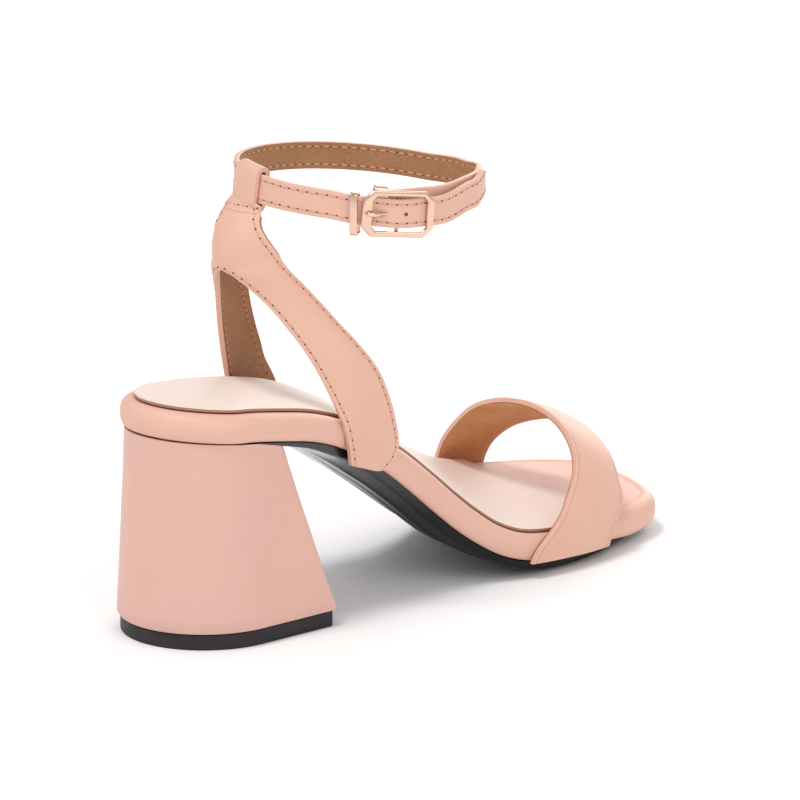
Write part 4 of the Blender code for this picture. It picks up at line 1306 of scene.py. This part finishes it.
def buckle_matrix():
    point, along, outward = ring_axes(BUCKLE_ANGLE)
    along.z = RING_SLOPE_X * along.x + RING_SLOPE_Y * along.y
    along.normalize()
    turn = Matrix((along, outward.cross(along), outward)).transposed().to_4x4()
    return Matrix.Translation(point - UP * FRAME_DROP) @ turn


def octagon(length, height, corner):
    x, y = length / 2, height / 2
    return ((x - corner, y), (x, y - corner), (x, corner - y), (x - corner, -y),
            (corner - x, -y), (-x, corner - y), (-x, y - corner), (corner - x, y))


def curve_piece(name, curve, matrix, bevel=0.0):
    """A metal piece from a curve, as a closed plain mesh with softened corners."""
    thing = new_object(name, curve)
    thing.matrix_world = matrix
    made = plain(thing)
    shape = bmesh.new()
    shape.from_mesh(made.data)
    bmesh.ops.remove_doubles(shape, verts=shape.verts, dist=WELD)
    bmesh.ops.recalc_face_normals(shape, faces=shape.faces)
    shape.to_mesh(made.data)
    shape.free()
    made.data.materials.clear()
    made.data.materials.append(metal)
    if bevel:
        soft = made.modifiers.new("soft", "BEVEL")
        soft.width = bevel
        soft.segments = 3
        soft.limit_method = "ANGLE"
        made = plain(made)
    made.data.shade_smooth()
    made.data.set_sharp_from_angle(angle=math.radians(50))
    return made


def buckle_frame():
    curve = bpy.data.curves.new("buckle_outline", "CURVE")
    curve.dimensions = "2D"
    curve.fill_mode = "BOTH"
    curve.extrude = FRAME_THICKNESS / 2
    inside = octagon(FRAME_LENGTH - FRAME_LEFT_BAR - FRAME_RIGHT_BAR,
                     FRAME_HEIGHT - 2 * FRAME_BAR, FRAME_CORNER_INSIDE)
    outside = octagon(FRAME_LENGTH, FRAME_HEIGHT, FRAME_CORNER)
    uneven = (FRAME_LEFT_BAR - FRAME_RIGHT_BAR) / 2
    for outline, shift in ((outside, 0.0), (inside, uneven)):
        line = curve.splines.new("POLY")
        line.use_cyclic_u = True
        line.points.add(len(outline) - 1)
        for handle, (x, y) in zip(line.points, outline):
            handle.co = (x + shift + FRAME_SHIFT, y, 0, 1)
    lift = Matrix.Translation((0, 0, FRAME_LIFT + FRAME_THICKNESS / 2))
    return curve_piece("polished_frame", curve, buckle_matrix() @ lift, FRAME_BEVEL)


hand_over(buckle_frame(), "rose_gold", "buckle_frame")

# %% [markdown]
# The prong is a bent wire that thins to its tip and rests on the frame. It turns on a thin bar that
# the strap hides. Both are curves with a round section, whose radius can change along the path.

# %% Prong and bar
PRONG_RADIUS = 0.85 * MM
BAR_RADIUS = 0.65 * MM


def metal_wire(name, path, radius):
    """A round wire through points in the buckle's axes, each with its share of the radius."""
    curve = bpy.data.curves.new(name, "CURVE")
    curve.dimensions = "3D"
    curve.bevel_depth = radius
    curve.bevel_resolution = 6
    curve.use_fill_caps = True
    line = curve.splines.new("POLY")
    fine = [spline_row(path, k / 6) for k in range(6 * (len(path) - 1) + 1)]
    line.points.add(len(fine) - 1)
    for handle, point in zip(line.points, fine):
        handle.co = (*(v * MM for v in point[:3]), 1)
        handle.radius = point[3]
    return curve_piece(name, curve, buckle_matrix())


PRONG = ((-1.3, 0, 0.95, 1.0), (-2.6, 0, 1.25, 1.0), (-4.4, 0, 1.9, 1.0), (-6.4, 0, 3.0, 1.0),
         (-8.2, 0, 4.1, 1.0), (-9.8, 0, 4.5, 0.95), (-11.4, 0, 4.45, 0.8), (-11.9, 0, 4.4, 0.35))
BAR = ((0, 6.3, 2.3, 1.0), (0, 6.1, 1.0, 1.0), (0, 5.2, 0.15, 1.0), (0, 0.0, 0.0, 1.0),
       (0, -5.2, 0.15, 1.0), (0, -6.1, 1.0, 1.0), (0, -6.3, 2.3, 1.0))
hand_over(metal_wire("polished_prong", PRONG, PRONG_RADIUS), "rose_gold", "buckle_prong")
hand_over(metal_wire("centre_bar", BAR, BAR_RADIUS), "rose_gold")

# %% [markdown]
# The keeper and the link are bent from flat metal strip. Each is a rectangle round the strap,
# swept over its width, with rounded corners.

# %% Keeper and link
SLEEVE_WALL = 0.8 * MM
SLEEVE_PLAY = 0.4 * MM
SLEEVE_CORNER = 0.9 * MM
KEEPER, LINK = table(
    "start end half_height drop skew",
    (-15.0, -12.7, 6.2, 1.3, 0.8),
    (-7.4, -3.0, 5.8, 0.6, 0.0),
)


def metal_loop(name, node, size, turns):
    """A loop of metal strip round the strap, so many turns back from the buckle."""
    zero = BUCKLE_ANGLE - 360 * turns
    start, end = (zero + math.degrees(d * MM / RING_RADII[1]) for d in (size.start, size.end))
    out, rise = strap_section((start + end) / 2)
    rise -= size.drop * MM
    depth = (STRAP_WALL + SLEEVE_WALL) / 2 + SLEEVE_PLAY
    height = size.half_height * MM + SLEEVE_WALL / 2
    path = []
    for sx, sy, first in ((1, 1, 0), (-1, 1, 90), (-1, -1, 180), (1, -1, 270)):
        for k in range(5):
            a = math.radians(first + 90 * k / 4)
            path.append((sx * (depth - SLEEVE_CORNER) + SLEEVE_CORNER * math.cos(a),
                         sy * (height - SLEEVE_CORNER) + SLEEVE_CORNER * math.sin(a)))
    shape = bmesh.new()
    add_sheet(shape, [[ring_point(angle - size.skew * t / depth, out + t, rise + w)
                       for angle in span(start, end, 4)] for t, w in path + path[:1]])
    middle = ring_point((start + end) / 2, out, rise)
    made = walled(name, shape, lambda point: middle, (metal,) * 3, SLEEVE_WALL, 0.2 * MM)
    hand_over(made, "rose_gold", node)


metal_loop("keeper_loop", "strap_keeper", KEEPER, 0)
metal_loop("link_loop", "buckle_link", LINK, 1)

# %% [markdown]
# The spare hole in the tail shows inside the frame. A punch leaves a round hole whose inside lies
# in shade, and the leather stands up a little round it, so it is a disc of painted shade inside a
# low ring. A boolean would cut a true hole, but at a millimetre across nobody could look into it.

# %% The punched hole
HOLE_AT = 1.8
HOLE_RADIUS = 0.6
HOLE_SIDES = 24
HOLE_RINGS = table(
    "share lift finish",
    (0.0, 0.03, 1), (0.6, 0.03, 1), (1.0, 0.03, 1), (1.02, 0.14, 0), (1.2, 0.22, 0),
    (1.45, 0.16, 0), (1.65, -0.05, 0),
)


def punched_hole():
    shape = bmesh.new()
    out, rise = strap_section(BUCKLE_ANGLE)
    rows = []
    for ring in HOLE_RINGS:
        row = []
        for k in range(HOLE_SIDES):
            turn = 2 * math.pi * k / HOLE_SIDES
            along = HOLE_AT + HOLE_RADIUS * ring.share * math.cos(turn)
            angle = BUCKLE_ANGLE + math.degrees(along * MM / RING_RADII[1])
            up = rise + HOLE_RADIUS * ring.share * math.sin(turn) * MM
            above = out + STRAP_WALL / 2 + ring.lift * MM
            row.append(shape.verts.new(ring_point(angle, above, up)))
        rows.append(row)
    for low, high, ring in zip(rows, rows[1:], HOLE_RINGS):
        for k in range(HOLE_SIDES):
            b = (k + 1) % HOLE_SIDES
            face = shape.faces.new((low[k], low[b], high[b], high[k]))
            # Finish 1 is the dark painted shade inside the hole.
            face.material_index = ring.finish
    return object_from("punched_hole", shape, strap_leather, hole_shade_finish)


hand_over(punched_hole(), "peach_leather")

# %% [markdown]
# The studio is a white floor under a white sky. The main light is soft and comes from above behind
# the heel, like a wide window, so the toe strap's shadow falls forward on the footbed. A disk at
# the outer side and a weak panel before the toe fill the shadows. The camera stands behind the
# heel on the outer side, far off with a long lens, which keeps the shoe's lines nearly parallel.

# %% Studio and camera
CAMERA_AZIMUTH = math.radians(45.3)
CAMERA_ELEVATION = math.radians(14.0)
CAMERA_DISTANCE = 1.483
CAMERA_TARGET = Vector((0, 0.0883, 0.060))
LENS = 198.8
FLOOR_RADIUS = 6.0
SKY_STRENGTH = 0.62
SHOE_MIDDLE = Vector((0, 0.09, 0.05))
TOE_MIDDLE = Vector((0, 0.12, 0.03))


def lamp(name, kind, power, place, target):
    light = bpy.data.lights.new(name, kind)
    light.energy = power
    thing = new_object(name, light)
    thing.location = place
    thing.rotation_euler = (target - Vector(place)).to_track_quat("-Z", "Y").to_euler()
    return light


def disk(name, power, size, place, target):
    light = lamp(name, "AREA", power, place, target)
    light.shape = "DISK"
    light.size = size


def studio():
    shape = bmesh.new()
    bmesh.ops.create_circle(shape, cap_ends=True, segments=96, radius=FLOOR_RADIUS)
    finish = Finish("floor_white", 0.9)
    finish.wear(finish.mix(finish.noise(3.0, 1.0), (0.94,) * 3, (0.96,) * 3))
    finish.shader.inputs["Specular IOR Level"].default_value = 0.1
    floor = object_from("floor", shape, finish.material)
    world = bpy.data.worlds.new("white_room")
    world.use_nodes = True
    sky = world.node_tree.nodes["Background"]
    sky.inputs["Color"].default_value = (1, 1, 1, 1)
    sky.inputs["Strength"].default_value = SKY_STRENGTH
    bpy.context.scene.world = world
    window = lamp("window", "SUN", 1.35, (-0.04, -0.45, 1), Vector())
    window.angle = math.radians(16)
    disk("fill", 5, 1.2, (1.3, -0.2, 0.9), SHOE_MIDDLE)
    disk("front_panel", 14, 1.4, (-0.9, 1.9, 0.75), TOE_MIDDLE)


def photo_camera():
    a, e = CAMERA_AZIMUTH, CAMERA_ELEVATION
    right = Vector((math.cos(a), math.sin(a), 0))
    back = Vector((math.sin(a) * math.cos(e), -math.cos(a) * math.cos(e), math.sin(e)))
    camera = bpy.data.cameras.new("photo_camera")
    camera.lens = LENS
    camera.sensor_width = 36
    camera.clip_start = 0.1
    camera.clip_end = 20
    thing = new_object("photo_camera", camera)
    turn = Matrix((right, back.cross(right), back)).transposed().to_4x4()
    thing.matrix_world = Matrix.Translation(CAMERA_TARGET + back * CAMERA_DISTANCE) @ turn
    bpy.context.scene.camera = thing


studio()
photo_camera()
bpy.context.scene.view_settings.view_transform = "Standard"
